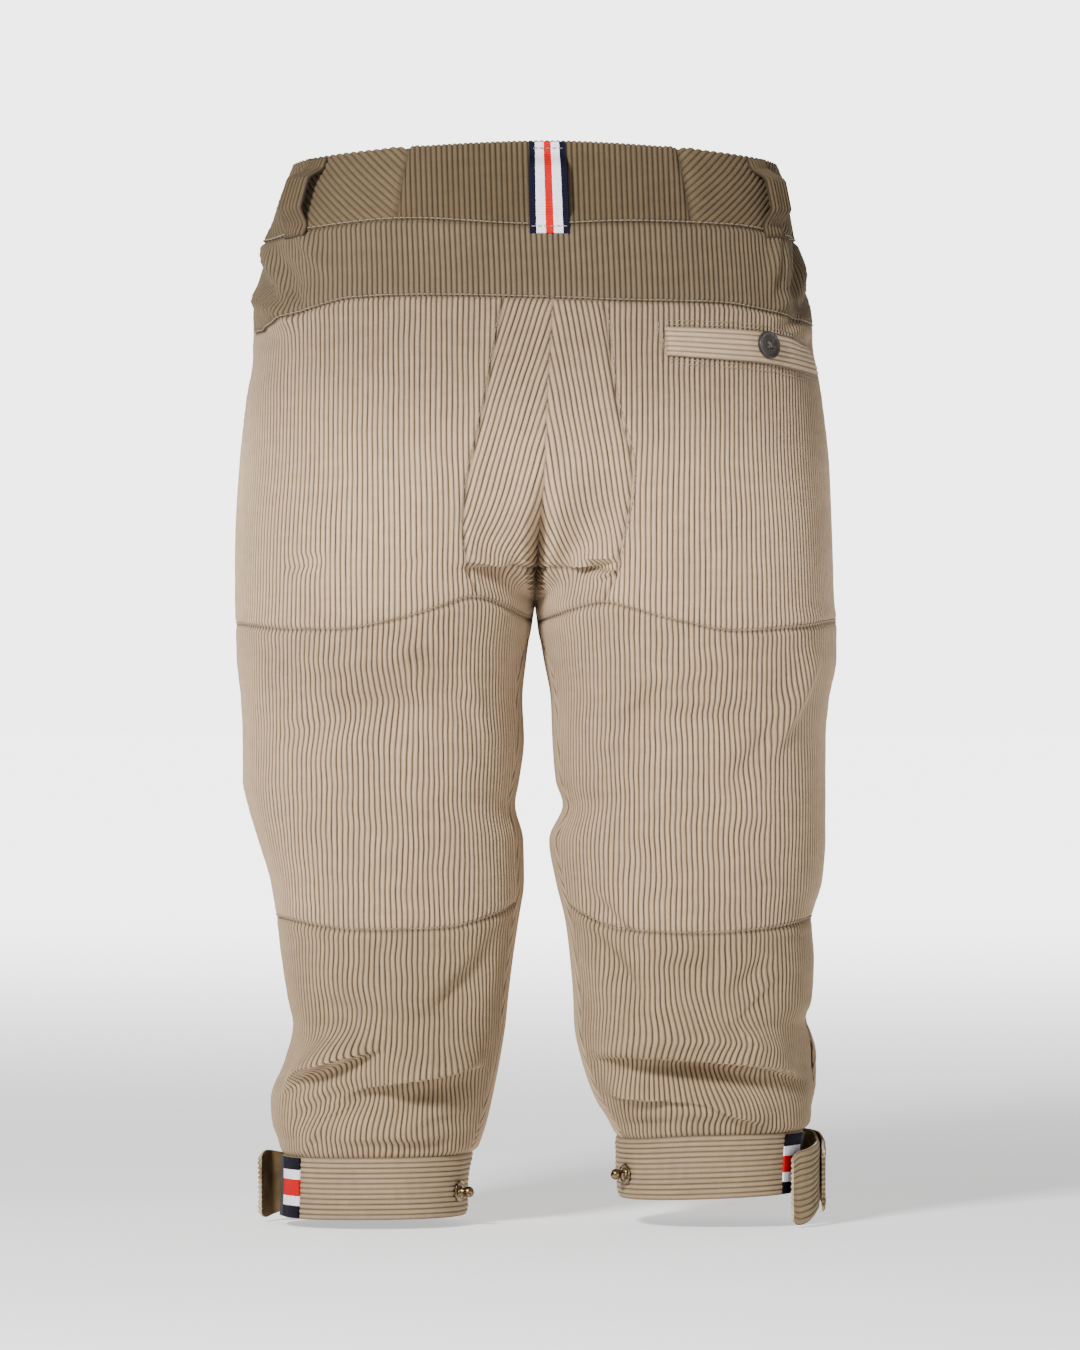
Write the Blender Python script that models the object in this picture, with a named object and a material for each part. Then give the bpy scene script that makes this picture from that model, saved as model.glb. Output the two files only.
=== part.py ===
"""Knee breeches in wide-wale corduroy, filled out as if worn, seen from the back along +Y.

Metres, +Z up. The wearer faces +Y, +X is the wearer's right, and the origin is the middle of the
waist, level with the middle of the waistband. Each leg's cloth is one surface, found from sections,
and every panel is a stretch of it with a wall of even thickness, held back a little at each seam.
Around that surface a share runs from 0 at the centre front, or the inseam, through 0.5 at the side
seam to 1 at the centre back, or the inseam again.
"""

import bpy
import numpy as np

# ---- driving sizes -------------------------------------------------------------------------------
WALL = 0.002  # corduroy
THIN = 0.0012  # ribbon and tape
GAP = 0.0003  # between pieces at a seam
SEWN_ON = 0.0007  # under a piece sewn on a panel
CROTCH = -0.258  # height of the crotch point
RISE_CURVE = 0.100  # height over which the rise seam turns under
INSEAM_TURN = 25.0  # degrees that the inseam lies behind the middle of the inner leg
SIDE = 0.5  # share around at the side seam
LEFT = -1
RIGHT = 1

# Sections of hip and waist, each an oval round the whole body.
TRUNK = (  # height, left half width, right half width, back depth, front depth
    (0.024, 0.146, 0.146, 0.101, 0.096),
    (0.012, 0.149, 0.149, 0.103, 0.098),
    (0.000, 0.154, 0.154, 0.106, 0.100),
    (-0.014, 0.159, 0.157, 0.109, 0.102),
    (-0.037, 0.165, 0.161, 0.114, 0.105),
    (-0.059, 0.170, 0.167, 0.119, 0.107),
    (-0.084, 0.174, 0.171, 0.125, 0.109),
    (-0.108, 0.174, 0.173, 0.131, 0.110),
    (-0.133, 0.178, 0.177, 0.137, 0.110),
    (-0.183, 0.183, 0.182, 0.146, 0.108),
    (-0.232, 0.185, 0.183, 0.145, 0.104),
    (-0.295, 0.184, 0.186, 0.134, 0.098),
)
TRUNK_SQUARENESS = 2.5

# Sections of each leg, each a closed oval.
LEG = {
    LEFT: (  # height, outer reach, inner reach, back depth, front depth
        (-0.150, 0.180, 0.0006, 0.143, 0.109),
        (-0.208, 0.184, 0.0006, 0.146, 0.105),
        (-0.258, 0.1845, 0.0008, 0.133, 0.099),
        (-0.272, 0.184, 0.0025, 0.128, 0.097),
        (-0.294, 0.1835, 0.0056, 0.120, 0.094),
        (-0.319, 0.181, 0.0080, 0.112, 0.091),
        (-0.344, 0.180, 0.0070, 0.106, 0.089),
        (-0.369, 0.180, 0.0100, 0.101, 0.087),
        (-0.384, 0.177, 0.0125, 0.098, 0.086),
        (-0.406, 0.1705, 0.0075, 0.094, 0.084),
        (-0.431, 0.163, 0.0070, 0.091, 0.082),
        (-0.456, 0.159, 0.0105, 0.088, 0.080),
        (-0.480, 0.156, 0.0140, 0.085, 0.078),
        (-0.505, 0.152, 0.0170, 0.082, 0.075),
        (-0.520, 0.149, 0.0185, 0.080, 0.074),
        (-0.542, 0.154, 0.0220, 0.078, 0.072),
        (-0.567, 0.163, 0.0270, 0.074, 0.068),
        (-0.580, 0.162, 0.0300, 0.071, 0.064),
        (-0.592, 0.158, 0.0340, 0.066, 0.058),
        (-0.602, 0.156, 0.0390, 0.063, 0.055),
        (-0.620, 0.156, 0.0415, 0.062, 0.054),
        (-0.642, 0.157, 0.0420, 0.062, 0.054),
    ),
    RIGHT: (  # height, outer reach, inner reach, back depth, front depth
        (-0.150, 0.179, 0.0006, 0.143, 0.109),
        (-0.208, 0.183, 0.0006, 0.146, 0.105),
        (-0.258, 0.1840, 0.0008, 0.133, 0.099),
        (-0.272, 0.1855, 0.0020, 0.128, 0.097),
        (-0.294, 0.1855, 0.0056, 0.120, 0.094),
        (-0.319, 0.181, 0.0100, 0.112, 0.091),
        (-0.344, 0.179, 0.0110, 0.106, 0.089),
        (-0.369, 0.179, 0.0130, 0.101, 0.087),
        (-0.384, 0.179, 0.0175, 0.098, 0.086),
        (-0.406, 0.179, 0.0090, 0.094, 0.084),
        (-0.431, 0.177, 0.0130, 0.091, 0.082),
        (-0.456, 0.1705, 0.0190, 0.088, 0.080),
        (-0.480, 0.172, 0.0220, 0.085, 0.078),
        (-0.505, 0.1705, 0.0240, 0.082, 0.075),
        (-0.520, 0.165, 0.0245, 0.080, 0.074),
        (-0.542, 0.165, 0.0290, 0.078, 0.072),
        (-0.567, 0.1705, 0.0380, 0.071, 0.066),
        (-0.578, 0.1700, 0.0450, 0.067, 0.060),
        (-0.589, 0.165, 0.0500, 0.063, 0.055),
        (-0.606, 0.164, 0.0500, 0.062, 0.054),
        (-0.630, 0.1625, 0.0520, 0.062, 0.054),
    ),
}
LEG_SQUARENESS = 2.45

CENTRE_BACK_DRIFT = (  # height, how far the centre back lies to the right
    (0.024, 0.0072),
    (-0.032, 0.0090),
    (-0.077, 0.0107),
    (-0.130, 0.0080),
    (-0.185, 0.0058),
    (-0.214, 0.0029),
    (-0.258, 0.0000),
)

# Heights of the seams and edges: at the centre front, and across the back from left to right.
WAIST_TOP = (
    0.004,
    (
        (-0.149, 0.0115),
        (-0.085, 0.0165),
        (0.008, 0.0200),
        (0.088, 0.0165),
        (0.149, 0.0115),
    ),
)
WAIST_SEAM = (
    -0.043,
    (
        (-0.165, -0.038),
        (-0.134, -0.032),
        (-0.080, -0.028),
        (0.000, -0.032),
        (0.058, -0.030),
        (0.122, -0.031),
        (0.160, -0.036),
    ),
)
YOKE_SEAM = (
    -0.100,
    (
        (-0.170, -0.093),
        (-0.134, -0.081),
        (-0.112, -0.076),
        (-0.076, -0.075),
        (0.015, -0.077),
        (0.058, -0.0785),
        (0.110, -0.079),
        (0.147, -0.084),
        (0.170, -0.089),
    ),
)
SEAT_SEAM_LOW = (
    -0.2390,
    (
        (-0.184, -0.240),
        (-0.042, -0.2355),
        (0.002, -0.2390),
        (0.050, -0.2400),
        (0.184, -0.243),
    ),
)
CROTCH_LINE = (
    CROTCH,
    (
        (-0.184, -0.257),
        (-0.042, -0.2465),
        (0.000, CROTCH),
        (0.050, -0.2500),
        (0.184, -0.258),
    ),
)
THIGH_SEAM = {
    LEFT: (
        (-0.184, -0.273),
        (-0.144, -0.277),
        (-0.116, -0.277),
        (-0.083, -0.271),
        (-0.053, -0.261),
        (-0.040, -0.2575),
        (-0.003, -0.270),
    ),
    RIGHT: (
        (0.003, -0.271),
        (0.048, -0.2610),
        (0.060, -0.264),
        (0.090, -0.273),
        (0.116, -0.278),
        (0.162, -0.275),
        (0.184, -0.271),
    ),
}
KNEE_SEAM = {
    LEFT: (
        (-0.160, -0.453),
        (-0.106, -0.460),
        (-0.058, -0.459),
        (-0.022, -0.450),
        (-0.008, -0.441),
    ),
    RIGHT: (
        (0.017, -0.438),
        (0.028, -0.450),
        (0.052, -0.460),
        (0.100, -0.462),
        (0.144, -0.459),
        (0.170, -0.454),
    ),
}
CUFF_TOP = {
    LEFT: ((-0.156, -0.600), (-0.039, -0.599)),
    RIGHT: ((0.050, -0.5895), (0.100, -0.586), (0.165, -0.585)),
}
CUFF_BOTTOM = {
    LEFT: ((-0.156, -0.638), (-0.042, -0.637)),
    RIGHT: ((0.050, -0.6265), (0.100, -0.625), (0.165, -0.6225)),
}

SEAT_PANEL = {  # height, where the seam beside the seat panel lies
    LEFT: ((-0.2355, -0.042), (-0.159, -0.034), (-0.077, -0.0193)),
    RIGHT: ((-0.240, 0.050), (-0.136, 0.0486), (-0.077, 0.0417)),
}

# The largest folds: a positive rise is a ridge, a negative one a trough, and a slope of 0 is level,
# positive where the fold climbs to the right. The bow is how far its middle stands above its ends.
FOLDS = (  # leg, face, across, height, half length, slope in degrees, rise, half width, bow
    (LEFT, "back", -0.152, -0.058, 0.030, -30, -0.0045, 0.009, 0.000),
    (LEFT, "back", -0.156, -0.083, 0.026, -20, 0.0035, 0.009, 0.000),
    (RIGHT, "back", 0.152, -0.050, 0.022, 62, 0.0030, 0.007, 0.000),
    (RIGHT, "back", 0.160, -0.066, 0.024, 35, -0.0030, 0.008, 0.000),
    (LEFT, "back", -0.091, -0.322, 0.060, 2, -0.0035, 0.011, 0.004),
    (LEFT, "back", -0.061, -0.301, 0.030, -30, -0.0025, 0.009, 0.000),
    (LEFT, "back", -0.100, -0.296, 0.055, -4, 0.0025, 0.013, 0.000),
    (RIGHT, "back", 0.091, -0.331, 0.062, 3, -0.0035, 0.012, 0.003),
    (RIGHT, "back", 0.085, -0.303, 0.050, 6, 0.0025, 0.013, 0.000),
    (RIGHT, "back", 0.158, -0.322, 0.045, 60, 0.0040, 0.010, 0.000),
    (LEFT, "back", -0.080, -0.395, 0.050, 8, -0.0020, 0.016, 0.000),
    (RIGHT, "back", 0.105, -0.400, 0.050, -8, -0.0020, 0.016, 0.000),
    (LEFT, "back", -0.050, -0.500, 0.040, 40, -0.0030, 0.012, 0.000),
    (LEFT, "back", -0.110, -0.510, 0.045, -12, -0.0025, 0.014, 0.000),
    (LEFT, "back", -0.128, -0.541, 0.040, 27, 0.0060, 0.010, 0.000),
    (LEFT, "back", -0.124, -0.563, 0.040, 24, -0.0050, 0.010, 0.000),
    (LEFT, "back", -0.064, -0.543, 0.038, 14, 0.0060, 0.009, 0.004),
    (LEFT, "back", -0.064, -0.560, 0.036, 14, -0.0045, 0.008, 0.004),
    (LEFT, "back", -0.090, -0.584, 0.050, 4, 0.0040, 0.009, 0.000),
    (RIGHT, "back", 0.051, -0.482, 0.032, -45, -0.0040, 0.010, 0.000),
    (RIGHT, "back", 0.094, -0.484, 0.026, 0, -0.0035, 0.012, 0.000),
    (RIGHT, "back", 0.130, -0.490, 0.022, 46, -0.0025, 0.009, 0.000),
    (RIGHT, "back", 0.099, -0.524, 0.064, -2, 0.0085, 0.011, 0.010),
    (RIGHT, "back", 0.099, -0.546, 0.060, -4, -0.0075, 0.010, 0.010),
    (RIGHT, "back", 0.060, -0.562, 0.024, 10, 0.0035, 0.008, 0.000),
    (RIGHT, "back", 0.110, -0.570, 0.046, -2, 0.0050, 0.010, 0.000),
    (LEFT, "front", -0.070, -0.262, 0.070, -24, -0.0035, 0.013, 0.000),
    (RIGHT, "front", 0.070, -0.262, 0.070, 24, -0.0035, 0.013, 0.000),
    (LEFT, "front", -0.095, -0.340, 0.050, 12, 0.0030, 0.014, 0.000),
    (RIGHT, "front", 0.090, -0.348, 0.055, -9, 0.0030, 0.015, 0.000),
    (LEFT, "front", -0.090, -0.452, 0.060, 4, -0.0040, 0.013, 0.000),
    (RIGHT, "front", 0.100, -0.447, 0.055, -6, -0.0040, 0.013, 0.000),
    (LEFT, "front", -0.085, -0.548, 0.055, -10, 0.0060, 0.011, 0.006),
    (LEFT, "front", -0.090, -0.570, 0.050, -6, -0.0045, 0.010, 0.004),
    (RIGHT, "front", 0.105, -0.538, 0.055, 8, 0.0060, 0.011, 0.006),
    (RIGHT, "front", 0.105, -0.560, 0.050, 6, -0.0045, 0.010, 0.004),
)
SLIT_GAPE = 0.009  # how far the front edge of the right leg's side slit stands out
SLIT_MIDDLE = -0.541
SLIT_HALF_HEIGHT = 0.030
SLIT_REACH = 0.10  # share of the way round that the gape fades over

# Rows between the seams and columns between the seams.
ROWS = {"yoke": 3, "upper": 8, "crotch": 3, "under": 2, "thigh": 10, "lower": 13}
COLUMNS = {"front": 13, "back": 12, "seat": 3}

# Waistband, loops and trims.
BAND_BACK_SECTION = (-0.080, 0.090)  # where the back section's ends lie, across
LOOP_TOP_DROP = 0.001
LOOP_LOW = -0.037
LOOP_ENDS = 0.006  # height of the stitched ends
LOOP_BEND = 0.22  # share of the loop's height in which it leaves the waistband
RIBBON_WIDTH = 0.022
RIBBON_STANDOFF = 0.0066
SIDE_LOOP_WIDTH = 0.020
SIDE_LOOP_STANDOFF = 0.0086
SIDE_LOOP_AT = {LEFT: -0.140, RIGHT: 0.141}

WELT_ENDS = (0.079, 0.170)
WELT_LEVEL = -0.105
WELT_TOP = ((0.079, -0.0940), (0.128, -0.0950), (0.170, -0.1015))
WELT_HEIGHT = ((0.079, 0.0178), (0.128, 0.0195), (0.170, 0.0190))
POCKET_BUTTON_AT = (0.139, -0.1045)
BUTTON_RADIUS = 0.0085
BUTTON_THICKNESS = 0.003
BUTTON_ROUNDING = 0.0007
BUTTON_SHANK = 0.0006  # thread between the button and the cloth
FLY_HALF_WIDTH = 0.019
FLY_HEIGHTS = (-0.0455, -0.158)
WAIST_BUTTON_AT = (0.014, -0.019)

CUFF_SLOT = {LEFT: 0.035, RIGHT: 0.020}  # share of the way round left open in front of the side
CUFF_RIBBON_WIDTH = 0.020
TAPE_WIDTH = 0.012
TRIM_INSET = 0.0006  # how far ribbon and tape stop short of the cuff's edges
TRIM_START = 0.034  # share of the way round from the side to the tape
TRIM_GAP = 0.002  # the same, from the tape to the ribbon
TAB_INSET = 0.0008  # the same for the strap ends
STUD_AT = {LEFT: (-0.0475, -0.6215), RIGHT: (0.0565, -0.6105)}  # across, height
STUD_PROFILE = (  # distance out along the stud, radius
    (0.0000, 0.0062),
    (0.0010, 0.0065),
    (0.0018, 0.0052),
    (0.0024, 0.0028),
    (0.0048, 0.0026),
    (0.0056, 0.0033),
    (0.0074, 0.0037),
    (0.0092, 0.0030),
    (0.0102, 0.0014),
)

# The strap ends of the cuffs: sewn on from and to as shares, the distance off the cuff there, and
# then the free stretch, by the heights of its top and low edges at the end and by its plan.
CUFF_TABS = (
    # name, leg, from, to, distance off, top, low, plan as (across, along) points
    ("cuff_tab_left", LEFT, 0.425, 0.455, SEWN_ON, -0.5985, -0.6410, ((-0.1625, 0.015), (-0.1695, -0.004))),
    (
        "cuff_tab_right",
        RIGHT,
        0.420,
        0.465,
        SEWN_ON,
        -0.5965,
        -0.6425,
        ((0.1725, 0.004), (0.1735, -0.018), (0.1680, -0.038), (0.1570, -0.049)),
    ),
    (
        "cuff_tab_right_over",
        RIGHT,
        0.422,
        0.446,
        2 * SEWN_ON + WALL,
        -0.5930,
        -0.6365,
        ((0.1755, 0.012), (0.1775, -0.006), (0.1770, -0.020)),
    ),
)
TAB_CORNER_ROUNDING = 0.16  # share of its height that a strap end loses at its rounded end


# ---- curves and sections -------------------------------------------------------------------------
def smooth(x, points):
    """A smooth curve through (x, y) points that never overshoots them, level past its ends."""
    xs, ys = np.array(sorted(points)).T
    step = np.diff(xs)
    slope = np.diff(ys) / step
    same_way = slope[1:] * slope[:-1] > 0
    total = np.where(same_way, slope[1:] + slope[:-1], 1.0)
    tangent = np.concatenate(
        [slope[:1], np.where(same_way, 2 * slope[1:] * slope[:-1] / total, 0.0), slope[-1:]]
    )
    x = np.clip(x, xs[0], xs[-1])
    i = np.clip(np.searchsorted(xs, x) - 1, 0, len(step) - 1)
    u = (x - xs[i]) / step[i]
    return (
        ys[i] * (1 + 2 * u) * (1 - u) ** 2
        + ys[i + 1] * u * u * (3 - 2 * u)
        + step[i] * (tangent[i] * u * (1 - u) ** 2 - tangent[i + 1] * u * u * (1 - u))
    )


def ease(u):
    u = np.clip(u, 0.0, 1.0)
    return u * u * (3 - 2 * u)


def column(table, index, height):
    return smooth(height, [(row[0], row[index]) for row in table])


def oval(angle, half_x, half_y, squareness):
    """The radius at this angle of an oval squared off a little, with the angle measured from +x."""
    across = np.abs(np.cos(angle) / half_x) ** squareness
    along = np.abs(np.sin(angle) / half_y) ** squareness
    return (across + along) ** (-1 / squareness)


def trunk_point(side, share, height):
    """A point of the half oval from the centre front round the side to the centre back."""
    angle = np.pi * share
    half_width = column(TRUNK, 1 if side == LEFT else 2, height)
    depth = np.where(share < SIDE, column(TRUNK, 4, height), column(TRUNK, 3, height))
    radius = oval(np.pi / 2 - angle, half_width, depth, TRUNK_SQUARENESS)
    return radius * np.sin(angle), radius * np.cos(angle)


def leg_point(side, share, height):
    """A point of the leg's closed oval, from the inseam round the front, side and back to it."""
    outer, inner, back, front = (column(LEG[side], i, height) for i in (1, 2, 3, 4))
    turn = np.radians(INSEAM_TURN) * ease((CROTCH - height) / 0.045)
    angle = np.where(
        share < SIDE,
        -turn + (np.pi + turn) * 2 * share,
        np.pi + (np.pi - turn) * (2 * share - 1),
    )
    half_width = (outer - inner) / 2
    radius = oval(angle, half_width, (back + front) / 2, LEG_SQUARENESS)
    return (outer + inner) / 2 - radius * np.cos(angle), (front - back) / 2 + radius * np.sin(angle)


def form(side, share, height):
    """The cloth's surface without folds. The rise seam opens the leg's oval into the trunk's."""
    share, height = np.broadcast_arrays(np.asarray(share, float), np.asarray(height, float))
    trunk_x, trunk_y = trunk_point(side, share, height)
    leg_x, leg_y = leg_point(side, share, height)
    below = np.clip((CROTCH + RISE_CURVE - height) / RISE_CURVE, 0, 1)
    at_seam = np.sqrt(1 - below**2)
    elsewhere = ease((height - CROTCH + 0.03) / (RISE_CURVE + 0.03))
    near_seam = np.exp(-((np.minimum(share, 1 - share) / 0.09) ** 2))
    trunk = elsewhere + (at_seam - elsewhere) * near_seam
    drift = smooth(height, CENTRE_BACK_DRIFT) * ease((share - 0.6) / 0.4)
    x = side * (leg_x + (trunk_x - leg_x) * trunk) + drift
    y = leg_y + (trunk_y - leg_y) * trunk
    return np.stack([x, y, height], -1)


def share_at(side, across, height, face="back"):
    """The share of the way round at which the surface lies at this distance across."""
    low, high = (SIDE, 1.0) if face == "back" else (SIDE, 0.0)
    for _ in range(40):
        middle = (low + high) / 2
        if side * form(side, middle, height)[0] > side * across:
            low = middle
        else:
            high = middle
    return (low + high) / 2


def facing(side, share, height, surface):
    """The outward unit normal of a surface(side, share, height)."""
    s, h = 0.004, 0.0015
    ahead = np.clip(share + s, 0, 1)
    behind = np.clip(share - s, 0, 1)
    around = surface(side, ahead, height) - surface(side, behind, height)
    down = surface(side, share, height - h) - surface(side, share, height + h)
    normal = side * np.cross(around, down)
    return normal / np.linalg.norm(normal, axis=-1, keepdims=True)


def fold_places():
    """Each fold with the share it lies at and the length of one whole share there."""
    places = []
    for side, face, across, height, *shape in FOLDS:
        share = share_at(side, across, height, face)
        step = form(side, share + 0.01, height) - form(side, share - 0.01, height)
        places.append((side, face, share, height, np.linalg.norm(step) / 0.02, shape))
    return places


def fold_push(side, share, height, places):
    """How far the folds move the cloth out at a place."""
    push = np.zeros(np.broadcast(share, height).shape)
    for leg, face, middle, level, girth, (half, slope, rise, width, bow) in places:
        if leg != side:
            continue
        way = -side if face == "back" else side
        right = way * (share - middle) * girth
        up = height - level
        angle = np.radians(slope)
        along = right * np.cos(angle) + up * np.sin(angle)
        over = up * np.cos(angle) - right * np.sin(angle) + bow * (along / half) ** 2
        fade = np.clip(1 - (along / half) ** 2, 0, 1) ** 1.5
        push = push + rise * fade * np.exp(-((over / width) ** 2))
    return push


PLACES = fold_places()


def cloth(side, share, height):
    """The outer surface of the cloth, folds and all."""
    share, height = np.broadcast_arrays(np.asarray(share, float), np.asarray(height, float))
    out = fold_push(side, share, height, PLACES)[..., None]
    return form(side, share, height) + facing(side, share, height, form) * out


def off_cloth(side, share, height, distance):
    """Points held this far off the cloth."""
    out = facing(side, share, height, cloth) * np.asarray(distance)[..., None]
    return cloth(side, share, height) + out


# ---- seam lines ----------------------------------------------------------------------------------
def seam_height(line, side, share):
    """The height of a seam or edge at these shares."""
    front, across = line if isinstance(line[0], float) else (None, line)
    level = float(np.mean([point[1] for point in across]))
    share = np.asarray(share, float)
    at_back = smooth(form(side, np.maximum(share, SIDE), level)[..., 0], across)
    centre = smooth(form(side, 1.0, level)[0], across) if front is None else front
    at_front = centre + (at_back - centre) * ease(share / SIDE)
    return np.where(share < SIDE, at_front, at_back)


def side_lines(side):
    return [
        WAIST_SEAM,
        YOKE_SEAM,
        SEAT_SEAM_LOW,
        CROTCH_LINE,
        THIGH_SEAM[side],
        KNEE_SEAM[side],
        CUFF_TOP[side],
    ]


# ---- the leg's grid of cloth ---------------------------------------------------------------------
def leg_grid(side):
    """Shares and heights of the grid of one side, from the waist seam down to the cuff."""
    lines = side_lines(side)
    seat = [(height, share_at(side, across, height)) for height, across in SEAT_PANEL[side]]
    shares, heights = [], []
    for i, count in enumerate(ROWS.values()):
        for k in range(count if i < len(ROWS) - 1 else count + 1):
            part = k / count
            middle = (np.mean(seam_height(lines[i], side, 0.9)) * (1 - part)) + (
                np.mean(seam_height(lines[i + 1], side, 0.9)) * part
            )
            seam = float(smooth(middle, seat))
            share = np.concatenate(
                [
                    np.linspace(0, SIDE, COLUMNS["front"] + 1),
                    np.linspace(SIDE, seam, COLUMNS["back"] + 1)[1:],
                    np.linspace(seam, 1, COLUMNS["seat"] + 1)[1:],
                ]
            )
            top = seam_height(lines[i], side, share)
            low = seam_height(lines[i + 1], side, share)
            if i == 2:
                # The rows crowd towards the crotch at the rise seam, where the cloth turns under.
                near = np.exp(-((np.minimum(share, 1 - share) / 0.12) ** 2))
                down = 1 - (1 - part) ** (1 + near)
            else:
                down = part
            shares.append(share)
            heights.append(top + (low - top) * down)
    return np.array(shares), np.array(heights)


def row_of(name):
    """The grid row at the top of this stretch of rows."""
    return sum(list(ROWS.values())[: list(ROWS).index(name)])


def grid_normals(side, points, crotch_row):
    """Outward normals of the grid, shared across the inseam below the crotch."""
    around = points[:-1, 1:] - points[:-1, :-1] + points[1:, 1:] - points[1:, :-1]
    down = points[1:, :-1] - points[:-1, :-1] + points[1:, 1:] - points[:-1, 1:]
    cell = side * np.cross(around, down)
    normal = np.zeros_like(points)
    for i in (0, 1):
        for j in (0, 1):
            normal[i : i + cell.shape[0], j : j + cell.shape[1]] += cell
    inseam = normal[crotch_row:, 0] + normal[crotch_row:, -1]
    normal[crotch_row:, 0] = inseam
    normal[crotch_row:, -1] = inseam
    return normal / np.linalg.norm(normal, axis=-1, keepdims=True)


def slit_gape(side, share, height):
    """How far the front panel's edge stands out along the right leg's side slit."""
    if side == LEFT:
        return np.zeros_like(share)
    up = np.clip(1 - ((height - SLIT_MIDDLE) / SLIT_HALF_HEIGHT) ** 2, 0, 1) ** 1.5
    return SLIT_GAPE * up * ease(1 - np.abs(SIDE - share) / SLIT_REACH)


def front_cloth(side, share, height):
    """The cloth of the front panel, which gapes at the side slit."""
    gape = slit_gape(side, np.asarray(share, float), np.asarray(height, float))
    return cloth(side, share, height) + facing(side, share, height, form) * gape[..., None]


def panel_grid(side, face):
    """The grid's points and normals. By the crotch the normals come from the grid itself."""
    shares, heights = leg_grid(side)
    surface = front_cloth if face == "front" else cloth
    points = surface(side, shares, heights)
    normals = facing(side, shares, heights, surface)
    below = slice(row_of("under"), None)
    normals[below, [0, -1]] = unit(normals[below, 0] + normals[below, -1])[:, None]
    near = np.exp(-((np.minimum(shares, 1 - shares) / 0.06) ** 2))
    near = near * np.exp(-(((heights - CROTCH) / 0.045) ** 2))
    rough = grid_normals(side, points, row_of("under"))
    return points, unit(normals + (rough - normals) * near[..., None])


# ---- closed walls --------------------------------------------------------------------------------
def unit(vector):
    return vector / np.maximum(np.linalg.norm(vector, axis=-1, keepdims=True), 1e-12)


def quadrants(cells):
    """For each grid point, how many of its cells lie to each side of it, as signs by row and column."""
    rows, columns = np.zeros((2, cells.shape[0] + 1, cells.shape[1] + 1))
    for i in (0, 1):
        for j in (0, 1):
            part = (slice(i, i + cells.shape[0]), slice(j, j + cells.shape[1]))
            rows[part] += cells * (1 - 2 * i)
            columns[part] += cells * (1 - 2 * j)
    return np.sign(rows), np.sign(columns)


def pull_back(points, normals, cells, rise_side=0, rise_rows=0):
    """Moves the rim of a panel in along the cloth, so that it keeps its half of the seam's gap.

    Down to rise_rows the end columns lie on the rise seam, and there they move straight sideways.
    """
    rows, columns = quadrants(cells)
    columns[:rise_rows, [0, -1]] = 0
    along_row = unit(np.gradient(points, axis=1))
    along_column = unit(np.gradient(points, axis=0))
    down = unit(np.cross(normals, along_row))
    down *= np.sign(np.sum(down * along_column, -1, keepdims=True))
    ahead = unit(np.cross(normals, along_column))
    ahead *= np.sign(np.sum(ahead * along_row, -1, keepdims=True))
    down[:rise_rows, [0, -1]] = along_column[:rise_rows, [0, -1]]
    moved = points + GAP / 2 * (rows[..., None] * down + columns[..., None] * ahead)
    moved[:rise_rows, [0, -1], 0] = points[:rise_rows, [0, -1], 0] + rise_side * GAP / 2
    return moved


def wall(outer, inner, cells=None):
    """Vertices and faces of the closed body between two grids, over the cells that are set."""
    height, width = outer.shape[:2]
    cells = np.ones((height - 1, width - 1), bool) if cells is None else cells
    used = np.zeros((height, width), bool)
    for i in (0, 1):
        for j in (0, 1):
            used[i : i + height - 1, j : j + width - 1] |= cells
    number = np.cumsum(used.ravel()).reshape(used.shape) - 1
    count = int(used.sum())
    vertices = np.concatenate([outer[used], inner[used]])
    faces = []
    for i, j in np.argwhere(cells):
        ring = [(i, j), (i, j + 1), (i + 1, j + 1), (i + 1, j)]
        corner = [int(number[place]) for place in ring]
        faces.append(corner)
        faces.append([index + count for index in reversed(corner)])
        neighbours = ((i - 1, j), (i, j + 1), (i + 1, j), (i, j - 1))
        for edge, (row, col) in enumerate(neighbours):
            inside = 0 <= row < cells.shape[0] and 0 <= col < cells.shape[1]
            if inside and cells[row, col]:
                continue
            a, b = corner[edge], corner[(edge + 1) % 4]
            # Both panels at a seam split their rims along the same diagonal, so they never cross.
            if a < b:
                faces += [[b, a, b + count], [a, a + count, b + count]]
            else:
                faces += [[b, a, a + count], [b, a + count, b + count]]
    return outward(vertices, faces)


def outward(vertices, faces):
    """Turns every face over if the body is inside out."""
    volume = 0.0
    for face in faces:
        for k in range(1, len(face) - 1):
            a, b, c = vertices[face[0]], vertices[face[k]], vertices[face[k + 1]]
            volume += float(np.dot(a, np.cross(b, c)))
    return vertices, faces if volume > 0 else [face[::-1] for face in faces]


def lathe(profile, centre, axis, segments=16):
    """A turned body along an axis: (distance, radius) points closed by a point at each end."""
    axis = unit(np.asarray(axis, float))
    across = unit(np.cross(axis, (0.0, 0.0, 1.0)))
    other = np.cross(axis, across)
    turns = np.linspace(0, 2 * np.pi, segments, endpoint=False)
    spokes = [across * np.cos(turn) + other * np.sin(turn) for turn in turns]
    vertices = []
    for distance, radius in profile:
        vertices += [centre + axis * distance + spoke * radius for spoke in spokes]
    faces = [list(range(segments)), list(range(len(vertices) - segments, len(vertices)))[::-1]]
    for ring in range(len(profile) - 1):
        for k in range(segments):
            a, b = ring * segments + k, ring * segments + (k + 1) % segments
            faces.append([b, a, a + segments, b + segments])
    return outward(np.array(vertices), faces)


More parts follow.
